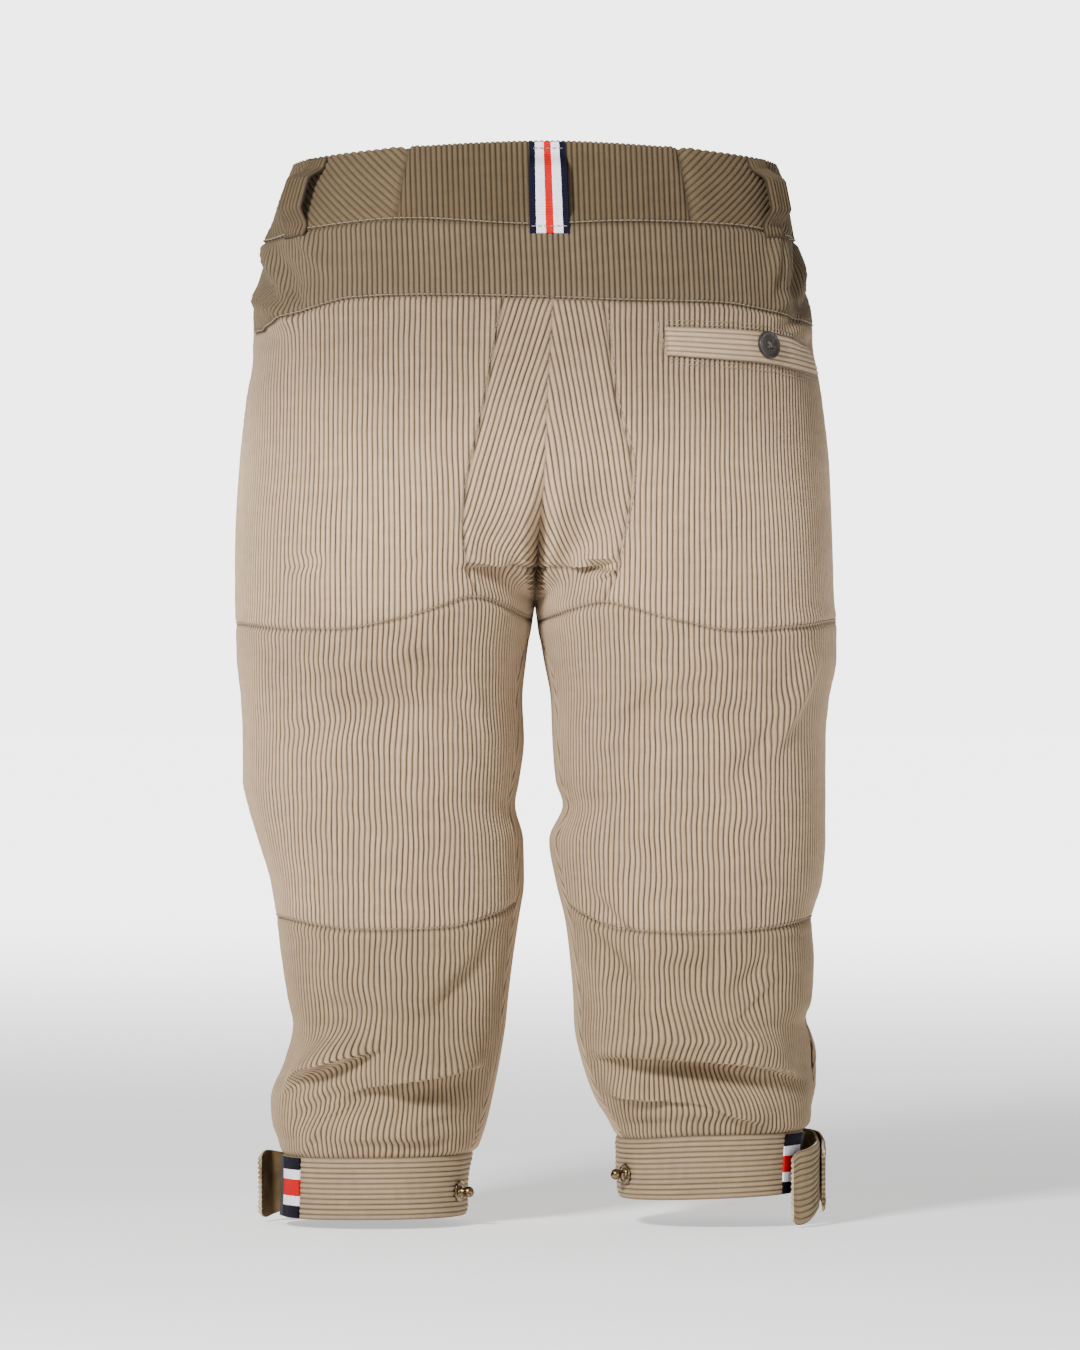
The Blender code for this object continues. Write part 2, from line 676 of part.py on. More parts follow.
# ---- objects -------------------------------------------------------------------------------------
COLOURS = {  # red, green, blue as seen, roughness, metallic
    "corduroy_dark": (128, 111, 90, 0.92, 0.0),
    "corduroy": (184, 167, 150, 0.92, 0.0),
    "corduroy_low": (163, 147, 127, 0.92, 0.0),
    "ribbon": (196, 58, 66, 0.70, 0.0),
    "tape": (26, 24, 24, 0.85, 0.0),
    "horn": (80, 70, 65, 0.35, 0.0),
    "gunmetal": (92, 80, 60, 0.30, 1.0),
}


def material(name, kind):
    *seen, roughness, metallic = COLOURS[kind]
    linear = [((value / 255 + 0.055) / 1.055) ** 2.4 for value in seen]
    made = bpy.data.materials.new(name)
    made.use_nodes = True
    shader = made.node_tree.nodes["Principled BSDF"]
    shader.inputs["Base Color"].default_value = (*linear, 1.0)
    shader.inputs["Roughness"].default_value = roughness
    shader.inputs["Metallic"].default_value = metallic
    made.diffuse_color = (*linear, 1.0)
    return made


def add(name, kind, body):
    vertices, faces = body
    mesh = bpy.data.meshes.new(name)
    mesh.from_pydata([tuple(map(float, point)) for point in vertices], [], faces)
    mesh.materials.append(material(name, kind))
    mesh.shade_smooth()
    mesh.set_sharp_from_angle(angle=np.radians(40))
    thing = bpy.data.objects.new(name, mesh)
    bpy.context.scene.collection.objects.link(thing)
    return thing


def add_panel(name, kind, grid, side, rows, columns, more=None):
    """A panel of the leg's grid: the cells in these rows and columns, and in a second block."""
    points, normals = grid
    cells = np.zeros((points.shape[0] - 1, points.shape[1] - 1), bool)
    cells[rows, columns] = True
    if more:
        cells[more] = True
    rise_rows = row_of("under")
    moved = pull_back(points, normals, cells, side, rise_rows)
    # Beside the rise seam the wall keeps to its own half.
    inward = -normals
    across = inward[: rise_rows + 1, [0, -1], 0]
    inward[: rise_rows + 1, [0, -1], 0] = np.where(side * across < 0, 0.0, across)
    inner = moved + unit(inward) * WALL
    add(name, kind, wall(moved, inner, cells))


def patch(path, top, low, rows, distance=0.0, thickness=WALL):
    """A strip of wall over (side, share) stations between two heights at each station.

    The distance off the cloth may vary down the rows. The wall grows inwards from the cloth itself,
    and outwards from a piece that lies on it.
    """
    sides, shares = np.array(path).T
    down = np.linspace(0, 1, rows + 1)[:, None]
    heights = np.asarray(top) + (np.asarray(low) - np.asarray(top)) * down
    standoff = np.zeros_like(heights) + np.reshape(distance, (-1, 1))
    lift = thickness if np.max(standoff) > 0 else -thickness
    near = np.zeros((*heights.shape, 3))
    far = np.zeros_like(near)
    for side in (LEFT, RIGHT):
        own = sides == side
        if own.any():
            place = (side, np.zeros_like(heights[:, own]) + shares[own], heights[:, own])
            near[:, own] = off_cloth(*place, standoff[:, own])
            far[:, own] = off_cloth(*place, standoff[:, own] + lift)
    cells = np.ones((rows, len(shares) - 1), bool)
    if lift < 0:
        step = pull_back(near, near - far, cells) - near
        near, far = near + step, far + step
    return wall(near, far, cells)


def across_back(left, right):
    """Stations from the left across the centre back to the right, from each side's shares."""
    return [(LEFT, share) for share in left] + [(RIGHT, share) for share in right[::-1][1:]]


def girth_at(side, share, height):
    """The length of one whole share at a place."""
    ahead = cloth(side, share + 0.01, height)
    return float(np.linalg.norm(ahead - cloth(side, share - 0.01, height)) / 0.02)


def heights_on(line, path):
    return np.array([float(seam_height(line, side, share)) for side, share in path])


def sided(name, side):
    return f"{name}_{'left' if side == LEFT else 'right'}"


def make_waistband():
    ends = {
        LEFT: share_at(LEFT, BAND_BACK_SECTION[0], 0.0),
        RIGHT: share_at(RIGHT, BAND_BACK_SECTION[1], 0.0),
    }
    path = across_back(*(np.linspace(ends[side], 1, 6) for side in (LEFT, RIGHT)))
    body = patch(path, heights_on(WAIST_TOP, path), heights_on(WAIST_SEAM, path), 3)
    add("waistband_back", "corduroy_dark", body)
    for side in (LEFT, RIGHT):
        for name, start, stop, count in (("side", SIDE, ends[side], 6), ("front", 0.0, SIDE, 14)):
            path = [(side, share) for share in np.linspace(start, stop, count + 1)]
            body = patch(path, heights_on(WAIST_TOP, path), heights_on(WAIST_SEAM, path), 3)
            add(sided(f"waistband_{name}", side), "corduroy_dark", body)


def make_yoke():
    shares = {side: leg_grid(side)[0][row_of("upper")] for side in (LEFT, RIGHT)}
    path = across_back(*(shares[side][shares[side] >= SIDE] for side in (LEFT, RIGHT)))
    body = patch(path, heights_on(WAIST_SEAM, path), heights_on(YOKE_SEAM, path), 4)
    add("yoke_back", "corduroy_dark", body)


def make_panels():
    low = COLUMNS["front"]
    seat = low + COLUMNS["back"]
    last = seat + COLUMNS["seat"]
    upper, crotch, thigh, knee = (row_of(name) for name in ("upper", "crotch", "thigh", "lower"))
    end = knee + ROWS["lower"]
    for side in (LEFT, RIGHT):
        front = panel_grid(side, "front")
        back = panel_grid(side, "back")
        by_crotch = (slice(crotch, thigh), slice(seat, last))
        for name, kind, grid, rows, columns, more in (
            ("front", "corduroy", front, slice(0, end), slice(0, low), None),
            ("back_upper", "corduroy", back, slice(upper, thigh), slice(low, seat), None),
            ("seat", "corduroy", back, slice(upper, crotch), slice(seat, last), None),
            ("back_thigh", "corduroy", back, slice(thigh, knee), slice(low, last), by_crotch),
            ("back_lower", "corduroy_low", back, slice(knee, end), slice(low, last), None),
        ):
            add_panel(sided(name, side), kind, grid, side, rows, columns, more)


def loop_standoff(rows, height, standoff):
    """How far a belt loop stands off the waistband, from its stitched top end to its low end."""
    down = np.linspace(0, height, rows + 1)
    bend = height * LOOP_BEND
    rise = ease((down - LOOP_ENDS) / bend) * ease((height - LOOP_ENDS - down) / bend)
    return GAP + standoff * rise


def make_loop(name, kind, centre, width, standoff, thickness):
    """A belt loop: a strip stitched on at both ends, centred on a (side, share) of the waist."""
    side, share = centre
    half = width / 2 / girth_at(side, min(share, 0.98), 0.0)
    rows, columns = 12, 4
    path = []
    for k in range(columns + 1):
        at = share - half + 2 * half * k / columns
        path.append((side, at) if at <= 1 else (-side, 2 - at))
    top = float(seam_height(WAIST_TOP, side, share)) - LOOP_TOP_DROP
    distance = loop_standoff(rows, top - LOOP_LOW, standoff)
    ends = np.full(columns + 1, top), np.full(columns + 1, LOOP_LOW)
    add(name, kind, patch(path, *ends, rows, distance, thickness))


def make_loops():
    make_loop("belt_loop_back", "ribbon", (RIGHT, 1.0), RIBBON_WIDTH, RIBBON_STANDOFF, THIN)
    for side in (LEFT, RIGHT):
        centre = (side, share_at(side, SIDE_LOOP_AT[side], -0.01))
        size = SIDE_LOOP_WIDTH, SIDE_LOOP_STANDOFF, WALL
        make_loop(sided("belt_loop", side), "corduroy_dark", centre, *size)


def make_pocket():
    start, stop = (share_at(RIGHT, across, WELT_LEVEL) for across in WELT_ENDS)
    path = [(RIGHT, share) for share in np.linspace(start, stop, 11)]
    across = np.array([form(RIGHT, share, WELT_LEVEL)[0] for _, share in path])
    top = smooth(across, WELT_TOP)
    body = patch(path, top, top - smooth(across, WELT_HEIGHT), 2, SEWN_ON)
    add("pocket_welt", "corduroy", body)
    make_button("pocket_button", POCKET_BUTTON_AT, "back", WALL + SEWN_ON)


def make_button(name, place, face, distance):
    """A flat button with a rounded rim, at a place (across, height) of the right half."""
    across, height = place
    share = share_at(RIGHT, across, height, face)
    axis = facing(RIGHT, share, height, form)
    centre = cloth(RIGHT, share, height) + axis * (distance + BUTTON_SHANK)
    edge = BUTTON_ROUNDING
    profile = (
        (0.0, BUTTON_RADIUS - edge),
        (edge, BUTTON_RADIUS),
        (BUTTON_THICKNESS - edge, BUTTON_RADIUS),
        (BUTTON_THICKNESS, BUTTON_RADIUS - edge),
    )
    add(name, "horn", lathe(profile, centre, axis, 20))


def make_front_closure():
    top, low = FLY_HEIGHTS
    shares = np.linspace(0, share_at(RIGHT, FLY_HALF_WIDTH, top, "front"), 3)
    path = [(LEFT, share) for share in shares[::-1]] + [(RIGHT, share) for share in shares[1:]]
    ends = np.full(len(path), top), np.full(len(path), low)
    add("fly", "corduroy", patch(path, *ends, 8, SEWN_ON))
    make_button("waist_button", WAIST_BUTTON_AT, "front", GAP)


def make_cuffs():
    for side in (LEFT, RIGHT):
        shares = leg_grid(side)[0][-1]
        stop = SIDE - CUFF_SLOT[side]
        route = [*shares[shares >= SIDE], *shares[(shares > 0) & (shares < stop - 0.01)], stop]
        path = [(side, share) for share in route]
        top, low = heights_on(CUFF_TOP[side], path), heights_on(CUFF_BOTTOM[side], path)
        add(sided("cuff", side), "corduroy_low", patch(path, top, low, 3))
        girth = girth_at(side, SIDE + 0.03, float(np.mean(top + low) / 2))
        start = SIDE + TRIM_START
        for name, kind, width in (
            ("cuff_tape", "tape", TAPE_WIDTH / girth),
            ("cuff_ribbon", "ribbon", CUFF_RIBBON_WIDTH / girth),
        ):
            path = [(side, share) for share in np.linspace(start, start + width, 4)]
            top = heights_on(CUFF_TOP[side], path) - TRIM_INSET
            low = heights_on(CUFF_BOTTOM[side], path) + TRIM_INSET
            add(sided(name, side), kind, patch(path, top, low, 3, GAP, THIN))
            start += width + TRIM_GAP
        across, height = STUD_AT[side]
        share = min(shares, key=lambda station: abs(station - share_at(side, across, height)))
        axis = facing(side, share, height, form)
        centre = cloth(side, share, height) + axis * SEWN_ON
        add(sided("cuff_stud", side), "gunmetal", lathe(STUD_PROFILE, centre, axis, 14))


def make_tab(name, side, start, stop, distance, top, low, free):
    """A strap end: sewn to the cuff at the front of the slot, then standing free with round corners."""
    rows, stations, steps = 4, 3, 3
    sewn = np.linspace(start, stop, stations)
    count = stations + len(free)
    at = np.linspace(0, count - 1, steps * (count - 1) + 1)
    out_along = np.clip((at - stations + 1) / len(free), 0, 1)
    near = np.zeros((rows + 1, len(at), 3))
    far = np.zeros_like(near)
    sewn_top = seam_height(CUFF_TOP[side], side, sewn) - TAB_INSET
    sewn_low = seam_height(CUFF_BOTTOM[side], side, sewn) + TAB_INSET
    for i, level in enumerate(np.linspace(0, 1, rows + 1)):
        heights = sewn_top + (sewn_low - sewn_top) * level
        fixed = off_cloth(side, sewn, heights, np.full(stations, distance))
        route = np.concatenate([fixed[:, :2], free])
        plan = np.stack([smooth(at, list(enumerate(route[:, axis]))) for axis in (0, 1)], -1)
        ahead = unit(np.gradient(plan, axis=0))
        out = side * np.stack([-ahead[:, 1], ahead[:, 0]], -1)
        middle = np.mean(heights) + (top + (low - top) * level - np.mean(heights)) * ease(out_along)
        corner = np.clip((at - at[-1] + 0.5) / 0.5, 0, 1)
        sewn_middle = (sewn_top[-1] + sewn_low[-1]) / 2
        centre = sewn_middle + ((top + low) / 2 - sewn_middle) * ease(out_along)
        height = centre + (middle - centre) * (1 - TAB_CORNER_ROUNDING * corner**2)
        near[i, :, :2], far[i, :, :2] = plan, plan + out * WALL
        near[i, :, 2] = far[i, :, 2] = height
    add(name, "corduroy_low", wall(near, far))


def make_tabs():
    for row in CUFF_TABS:
        make_tab(*row)


def clear_scene():
    for thing in list(bpy.data.objects):
        bpy.data.objects.remove(thing, do_unlink=True)


clear_scene()
make_waistband()
make_yoke()
make_panels()
make_loops()
make_pocket()
make_front_closure()
make_cuffs()
make_tabs()
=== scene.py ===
"""Knee breeches in wide-wale corduroy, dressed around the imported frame.

Metres, +Z up. The wearer faces +Y and the back faces the camera. Each leg's cloth is one surface,
found from sections: a share runs round it from 0 at the centre front, or the inseam, through 0.5 at
the side seam to 1 at the centre back, or the inseam again. Each panel is woven on that surface as a
closed shell whose columns follow the wales, so the cords are cut by the seams as real ones are.
"""

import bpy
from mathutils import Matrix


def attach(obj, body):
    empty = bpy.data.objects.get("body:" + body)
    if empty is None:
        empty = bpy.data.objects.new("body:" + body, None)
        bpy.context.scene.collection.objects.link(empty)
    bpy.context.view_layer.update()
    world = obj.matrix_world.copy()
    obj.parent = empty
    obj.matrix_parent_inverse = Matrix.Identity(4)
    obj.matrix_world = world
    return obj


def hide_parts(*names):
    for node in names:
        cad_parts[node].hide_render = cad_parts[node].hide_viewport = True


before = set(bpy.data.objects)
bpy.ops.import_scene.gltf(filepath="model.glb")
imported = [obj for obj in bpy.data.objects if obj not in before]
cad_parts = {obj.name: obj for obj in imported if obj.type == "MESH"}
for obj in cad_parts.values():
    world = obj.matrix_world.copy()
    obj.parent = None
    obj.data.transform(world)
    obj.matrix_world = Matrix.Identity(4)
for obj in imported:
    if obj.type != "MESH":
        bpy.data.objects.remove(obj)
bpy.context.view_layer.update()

import bpy
import numpy as np

# ---- driving sizes ----
WALL = 0.002  # corduroy
THIN = 0.0012  # ribbon and tape
GAP = 0.0003  # between pieces at a seam
SEWN_ON = 0.0007  # under a piece sewn on a panel
CROTCH = -0.258  # height of the crotch point
RISE_CURVE = 0.100  # height over which the rise seam turns under
INSEAM_TURN = 25.0  # degrees that the inseam lies behind the middle of the inner leg
SIDE = 0.5  # share around at the side seam
FACING_STEP = (0.004, 0.0015)  # share and height over which the surface's direction is measured
GIRTH_STEP = 0.01  # share over which its girth is
LEFT = -1
RIGHT = 1

# Sections of hip and waist, each an oval round the whole body.
TRUNK = (  # height, left half width, right half width, back depth, front depth
    (0.024, 0.146, 0.146, 0.101, 0.096),
    (0.012, 0.149, 0.149, 0.103, 0.098),
    (0.000, 0.154, 0.154, 0.106, 0.100),
    (-0.014, 0.159, 0.157, 0.109, 0.102),
    (-0.037, 0.165, 0.161, 0.114, 0.105),
    (-0.059, 0.170, 0.167, 0.119, 0.107),
    (-0.084, 0.174, 0.171, 0.125, 0.109),
    (-0.108, 0.174, 0.173, 0.131, 0.110),
    (-0.133, 0.178, 0.177, 0.137, 0.110),
    (-0.183, 0.183, 0.182, 0.146, 0.108),
    (-0.232, 0.185, 0.183, 0.145, 0.104),
    (-0.295, 0.184, 0.186, 0.134, 0.098),
)
TRUNK_SQUARENESS = 2.5
RISE_SHARES = 0.09  # share beside the rise seam over which the leg's oval opens into the trunk's

# Sections of each leg, each a closed oval.
LEG = {
    LEFT: (  # height, outer reach, inner reach, back depth, front depth
        (-0.150, 0.180, 0.0006, 0.143, 0.109),
        (-0.208, 0.184, 0.0006, 0.146, 0.105),
        (-0.258, 0.1845, 0.0008, 0.133, 0.099),
        (-0.272, 0.184, 0.0025, 0.128, 0.097),
        (-0.294, 0.1835, 0.0056, 0.120, 0.094),
        (-0.319, 0.181, 0.0080, 0.112, 0.091),
        (-0.344, 0.180, 0.0070, 0.106, 0.089),
        (-0.369, 0.180, 0.0100, 0.101, 0.087),
        (-0.384, 0.177, 0.0125, 0.098, 0.086),
        (-0.406, 0.1705, 0.0075, 0.094, 0.084),
        (-0.431, 0.163, 0.0070, 0.091, 0.082),
        (-0.456, 0.159, 0.0105, 0.088, 0.080),
        (-0.480, 0.156, 0.0140, 0.085, 0.078),
        (-0.505, 0.152, 0.0170, 0.082, 0.075),
        (-0.520, 0.149, 0.0185, 0.080, 0.074),
        (-0.542, 0.154, 0.0220, 0.078, 0.072),
        (-0.567, 0.163, 0.0270, 0.074, 0.068),
        (-0.580, 0.162, 0.0300, 0.071, 0.064),
        (-0.592, 0.158, 0.0340, 0.066, 0.058),
        (-0.602, 0.156, 0.0390, 0.063, 0.055),
        (-0.620, 0.156, 0.0415, 0.062, 0.054),
        (-0.642, 0.157, 0.0420, 0.062, 0.054),
    ),
    RIGHT: (  # height, outer reach, inner reach, back depth, front depth
        (-0.150, 0.179, 0.0006, 0.143, 0.109),
        (-0.208, 0.183, 0.0006, 0.146, 0.105),
        (-0.258, 0.1840, 0.0008, 0.133, 0.099),
        (-0.272, 0.1855, 0.0020, 0.128, 0.097),
        (-0.294, 0.1855, 0.0056, 0.120, 0.094),
        (-0.319, 0.181, 0.0100, 0.112, 0.091),
        (-0.344, 0.179, 0.0110, 0.106, 0.089),
        (-0.369, 0.179, 0.0130, 0.101, 0.087),
        (-0.384, 0.179, 0.0175, 0.098, 0.086),
        (-0.406, 0.179, 0.0090, 0.094, 0.084),
        (-0.431, 0.177, 0.0130, 0.091, 0.082),
        (-0.456, 0.1705, 0.0190, 0.088, 0.080),
        (-0.480, 0.172, 0.0220, 0.085, 0.078),
        (-0.505, 0.1705, 0.0240, 0.082, 0.075),
        (-0.520, 0.165, 0.0245, 0.080, 0.074),
        (-0.542, 0.165, 0.0290, 0.078, 0.072),
        (-0.567, 0.1705, 0.0380, 0.071, 0.066),
        (-0.578, 0.1700, 0.0450, 0.067, 0.060),
        (-0.589, 0.165, 0.0500, 0.063, 0.055),
        (-0.606, 0.164, 0.0500, 0.062, 0.054),
        (-0.630, 0.1625, 0.0520, 0.062, 0.054),
    ),
}
LEG_SQUARENESS = 2.45

CENTRE_BACK_DRIFT = (  # height, how far the centre back lies to the right
    (0.024, 0.0072), (-0.032, 0.0090), (-0.077, 0.0107), (-0.130, 0.0080), (-0.185, 0.0058),
    (-0.214, 0.0029), (-0.258, 0.0000),
)

# Heights of the seams and edges: at the centre front, and across the back from left to right.
WAIST_TOP = (
    0.004,
    ((-0.149, 0.0115), (-0.085, 0.0165), (0.008, 0.0200), (0.088, 0.0165), (0.149, 0.0115)),
)
WAIST_SEAM = (
    -0.043,
    (
        (-0.165, -0.038), (-0.134, -0.032), (-0.080, -0.028), (0.000, -0.032), (0.058, -0.030),
        (0.122, -0.031), (0.160, -0.036),
    ),
)
YOKE_SEAM = (
    -0.100,
    (
        (-0.170, -0.093), (-0.134, -0.081), (-0.112, -0.076), (-0.076, -0.075), (0.015, -0.077),
        (0.058, -0.0785), (0.110, -0.079), (0.147, -0.084), (0.170, -0.089),
    ),
)
SEAT_SEAM_LOW = (
    -0.2390,
    ((-0.184, -0.240), (-0.042, -0.2355), (0.002, -0.2390), (0.050, -0.2400), (0.184, -0.243)),
)
CROTCH_LINE = (
    CROTCH,
    ((-0.184, -0.257), (-0.042, -0.2465), (0.000, CROTCH), (0.050, -0.2500), (0.184, -0.258)),
)
THIGH_SEAM = {
    LEFT: (
        (-0.184, -0.273), (-0.144, -0.277), (-0.116, -0.277), (-0.083, -0.271), (-0.053, -0.261),
        (-0.040, -0.2575), (-0.003, -0.270),
    ),
    RIGHT: (
        (0.003, -0.271), (0.048, -0.2610), (0.060, -0.264), (0.090, -0.273), (0.116, -0.278),
        (0.162, -0.275), (0.184, -0.271),
    ),
}
KNEE_SEAM = {
    LEFT: (
        (-0.160, -0.453), (-0.106, -0.460), (-0.058, -0.459), (-0.022, -0.450), (-0.008, -0.441),
    ),
    RIGHT: (
        (0.017, -0.438), (0.028, -0.450), (0.052, -0.460), (0.100, -0.462), (0.144, -0.459),
        (0.170, -0.454),
    ),
}
CUFF_TOP = {
    LEFT: ((-0.156, -0.600), (-0.039, -0.599)),
    RIGHT: ((0.050, -0.5895), (0.100, -0.586), (0.165, -0.585)),
}
CUFF_BOTTOM = {
    LEFT: ((-0.156, -0.638), (-0.042, -0.637)),
    RIGHT: ((0.050, -0.6265), (0.100, -0.625), (0.165, -0.6225)),
}

SEAT_PANEL = {  # height, where the seam beside the seat panel lies
    LEFT: ((-0.2355, -0.042), (-0.159, -0.034), (-0.077, -0.0193)),
    RIGHT: ((-0.240, 0.050), (-0.136, 0.0486), (-0.077, 0.0417)),
}

# The largest folds, by leg and face: a positive rise is a ridge, a negative one a trough, and a
# slope of 0 is level, positive where the fold climbs to the viewer's right. The bow, left out where
# it is 0, is how far a fold's middle stands above its ends.
FOLDS = {  # across, height, half length, slope in degrees, rise, half width, bow
    (LEFT, "back"): (
        (-0.152, -0.058, 0.03, -30, -0.0045, 0.009),
        (-0.156, -0.083, 0.026, -20, 0.0035, 0.009),
        (-0.091, -0.322, 0.06, 2, -0.0035, 0.011, 0.004),
        (-0.061, -0.301, 0.03, -30, -0.0025, 0.009),
        (-0.1, -0.296, 0.055, -4, 0.0025, 0.013),
        (-0.08, -0.395, 0.05, 8, -0.002, 0.016),
        (-0.05, -0.5, 0.04, 40, -0.003, 0.012),
        (-0.11, -0.51, 0.045, -12, -0.0025, 0.014),
        (-0.128, -0.541, 0.04, 27, 0.006, 0.01),
        (-0.124, -0.563, 0.04, 24, -0.005, 0.01),
        (-0.064, -0.543, 0.038, 14, 0.006, 0.009, 0.004),
        (-0.064, -0.56, 0.036, 14, -0.0045, 0.008, 0.004),
        (-0.09, -0.584, 0.05, 4, 0.004, 0.009),
    ),
    (RIGHT, "back"): (
        (0.152, -0.05, 0.022, 62, 0.003, 0.007),
        (0.16, -0.066, 0.024, 35, -0.003, 0.008),
        (0.091, -0.331, 0.062, 3, -0.0035, 0.012, 0.003),
        (0.085, -0.303, 0.05, 6, 0.0025, 0.013),
        (0.158, -0.322, 0.045, 60, 0.004, 0.01),
        (0.105, -0.4, 0.05, -8, -0.002, 0.016),
        (0.051, -0.482, 0.032, -45, -0.004, 0.01),
        (0.094, -0.484, 0.026, 0, -0.0035, 0.012),
        (0.13, -0.49, 0.022, 46, -0.0025, 0.009),
        (0.099, -0.524, 0.064, -2, 0.0085, 0.011, 0.01),
        (0.099, -0.546, 0.06, -4, -0.0075, 0.01, 0.01),
        (0.06, -0.562, 0.024, 10, 0.0035, 0.008),
        (0.11, -0.57, 0.046, -2, 0.005, 0.01),
    ),
    (LEFT, "front"): (
        (-0.07, -0.262, 0.07, -24, -0.0035, 0.013),
        (-0.095, -0.34, 0.05, 12, 0.003, 0.014),
        (-0.09, -0.452, 0.06, 4, -0.004, 0.013),
        (-0.085, -0.548, 0.055, -10, 0.006, 0.011, 0.006),
        (-0.09, -0.57, 0.05, -6, -0.0045, 0.01, 0.004),
    ),
    (RIGHT, "front"): (
        (0.07, -0.262, 0.07, 24, -0.0035, 0.013),
        (0.09, -0.348, 0.055, -9, 0.003, 0.015),
        (0.1, -0.447, 0.055, -6, -0.004, 0.013),
        (0.105, -0.538, 0.055, 8, 0.006, 0.011, 0.006),
        (0.105, -0.56, 0.05, 6, -0.0045, 0.01, 0.004),
    ),
}
SMALL_FOLDS = {  # the same, for creases too small for the solids
    (LEFT, "back"): (
        (-0.05, -0.313, 0.045, -38, -0.0035, 0.007),
        (-0.036, -0.325, 0.03, -62, 0.002, 0.006),
        (-0.13, -0.335, 0.035, 12, -0.002, 0.009),
        (-0.04, -0.487, 0.04, 50, -0.0025, 0.009),
        (-0.112, -0.566, 0.034, 17, -0.003, 0.005),
        (-0.135, -0.583, 0.026, 38, 0.0022, 0.006),
        (-0.06, -0.578, 0.03, 12, -0.0022, 0.006, 0.003),
        (-0.14, -0.236, 0.02, 8, -0.002, 0.004),
        (-0.07, -0.234, 0.016, 25, -0.0016, 0.004),
        (-0.138, -0.046, 0.026, -38, 0.0024, 0.005),
        (-0.148, -0.071, 0.022, -26, -0.0022, 0.004),
        (-0.165, -0.048, 0.048, -26, 0.0034, 0.007),
        (-0.164, -0.066, 0.058, -24, -0.0046, 0.006),
        (-0.168, -0.077, 0.05, -12, 0.0036, 0.007),
        (-0.17, -0.093, 0.044, -8, -0.0026, 0.006),
    ),
    (RIGHT, "back"): (
        (0.047, -0.452, 0.03, -42, -0.004, 0.006),
        (0.057, -0.494, 0.026, -52, -0.003, 0.006),
        (0.062, -0.325, 0.026, 30, -0.0026, 0.007),
        (0.05, -0.342, 0.02, 34, 0.0018, 0.006),
        (0.135, -0.35, 0.04, 52, -0.0022, 0.008),
        (0.07, -0.58, 0.026, 4, -0.0024, 0.005),
        (0.146, -0.052, 0.028, 60, 0.0024, 0.005),
        (0.154, -0.076, 0.02, 18, 0.0024, 0.005),
        (0.156, -0.088, 0.02, 10, -0.002, 0.004),
        (0.16, -0.043, 0.044, 48, -0.003, 0.006),
        (0.165, -0.056, 0.04, 30, 0.0022, 0.007),
        (0.168, -0.072, 0.044, 14, -0.003, 0.004),
        (0.17, -0.1, 0.044, 4, -0.0036, 0.007),
    ),
}
STEPS = {  # the same, for folds that hang over the cloth below them
    (LEFT, "back"): (
        (-0.07, -0.547, 0.052, 11, 0.007, 0.013, 0.008),
        (-0.128, -0.5425, 0.042, 22, 0.0066, 0.011, 0.006),
        (-0.122, -0.572, 0.026, 20, 0.0022, 0.008),
        (-0.07, -0.5885, 0.02, 4, 0.002, 0.007),
        (-0.026, -0.237, 0.026, 2, 0.0052, 0.01),
    ),
    (RIGHT, "back"): (
        (0.104, -0.537, 0.088, -5, 0.0088, 0.014, 0.011),
        (0.074, -0.562, 0.044, -4, 0.004, 0.009, 0.001),
        (0.122, -0.572, 0.026, -22, 0.0022, 0.008),
        (0.122, -0.519, 0.02, -48, 0.0016, 0.007),
        (0.13, -0.506, 0.034, 40, 0.0012, 0.01),
        (0.034, -0.236, 0.024, 9, 0.0052, 0.01),
        (0.045, -0.243, 0.014, 24, 0.0022, 0.006),
    ),
}
FOLD_DEPTH = 1.3  # how much deeper the cloth's folds are than the solids'
FOLD_LEAN = (1.25, 0.62)  # a fold hangs over: its width above and below the ridge, as shares
FOLD_END = 0.022  # share beside the inside seam in which a fold dies away
FOLD_DRAG = 0.4  # how far a fold pulls the wales sideways for each metre that it stands out
STEP_EDGE = 0.0014  # half the height of the edge where a fold of STEPS hangs over
STEP_HANG = (0.5, 0.0075)  # share of its rise that it hangs by, and the height this fades over
STEP_SHARE = 0.4  # share of such a fold's rise that drags the wales

CLEFT = 0.034  # how deep the seat seam is drawn in above the crotch
CLEFT_LEVEL = -0.232
CLEFT_END = (-0.262, 0.020)  # where the hollow ends, and the height above this that it fades over
CLEFT_REACH = (0.028, 0.014)  # up from the deepest point, and share to each side
RISE_CLOSES = 0.0008  # how far the two halves press together along the rise seam above the crotch
RISE_CLOSING = 0.012, -0.264, -0.260  # share over which they do, and from and above which height
SLIT_GAPE = 0.009  # how far the front edge of the right leg's side slit stands out
SLIT_BACK = 0.6  # and its back edge, as a share of this
SLIT_MIDDLE = -0.541
SLIT_HALF_HEIGHT = 0.030
SLIT_REACH = 0.10  # share of the way round that the gape fades over

# Waistband, loops and trims.
BAND_BACK_SECTION = (-0.080, 0.090)  # where the back section's ends lie, across
LOOP_TOP_DROP = 0.001
LOOP_LOW = -0.037
LOOP_ENDS = 0.006  # height of the stitched ends
LOOP_BEND = 0.22  # share of the loop's height in which it leaves the waistband
LOOP_STITCHED = (0.07, 0.93)  # shares of the way down the back loop
RIBBON_WIDTH = 0.022
RIBBON_STANDOFF = 0.0066
SIDE_LOOP_WIDTH = 0.020
SIDE_LOOP_STANDOFF = 0.0086
SIDE_LOOP_WALES = 7
SIDE_LOOP_AT = {LEFT: -0.140, RIGHT: 0.141}

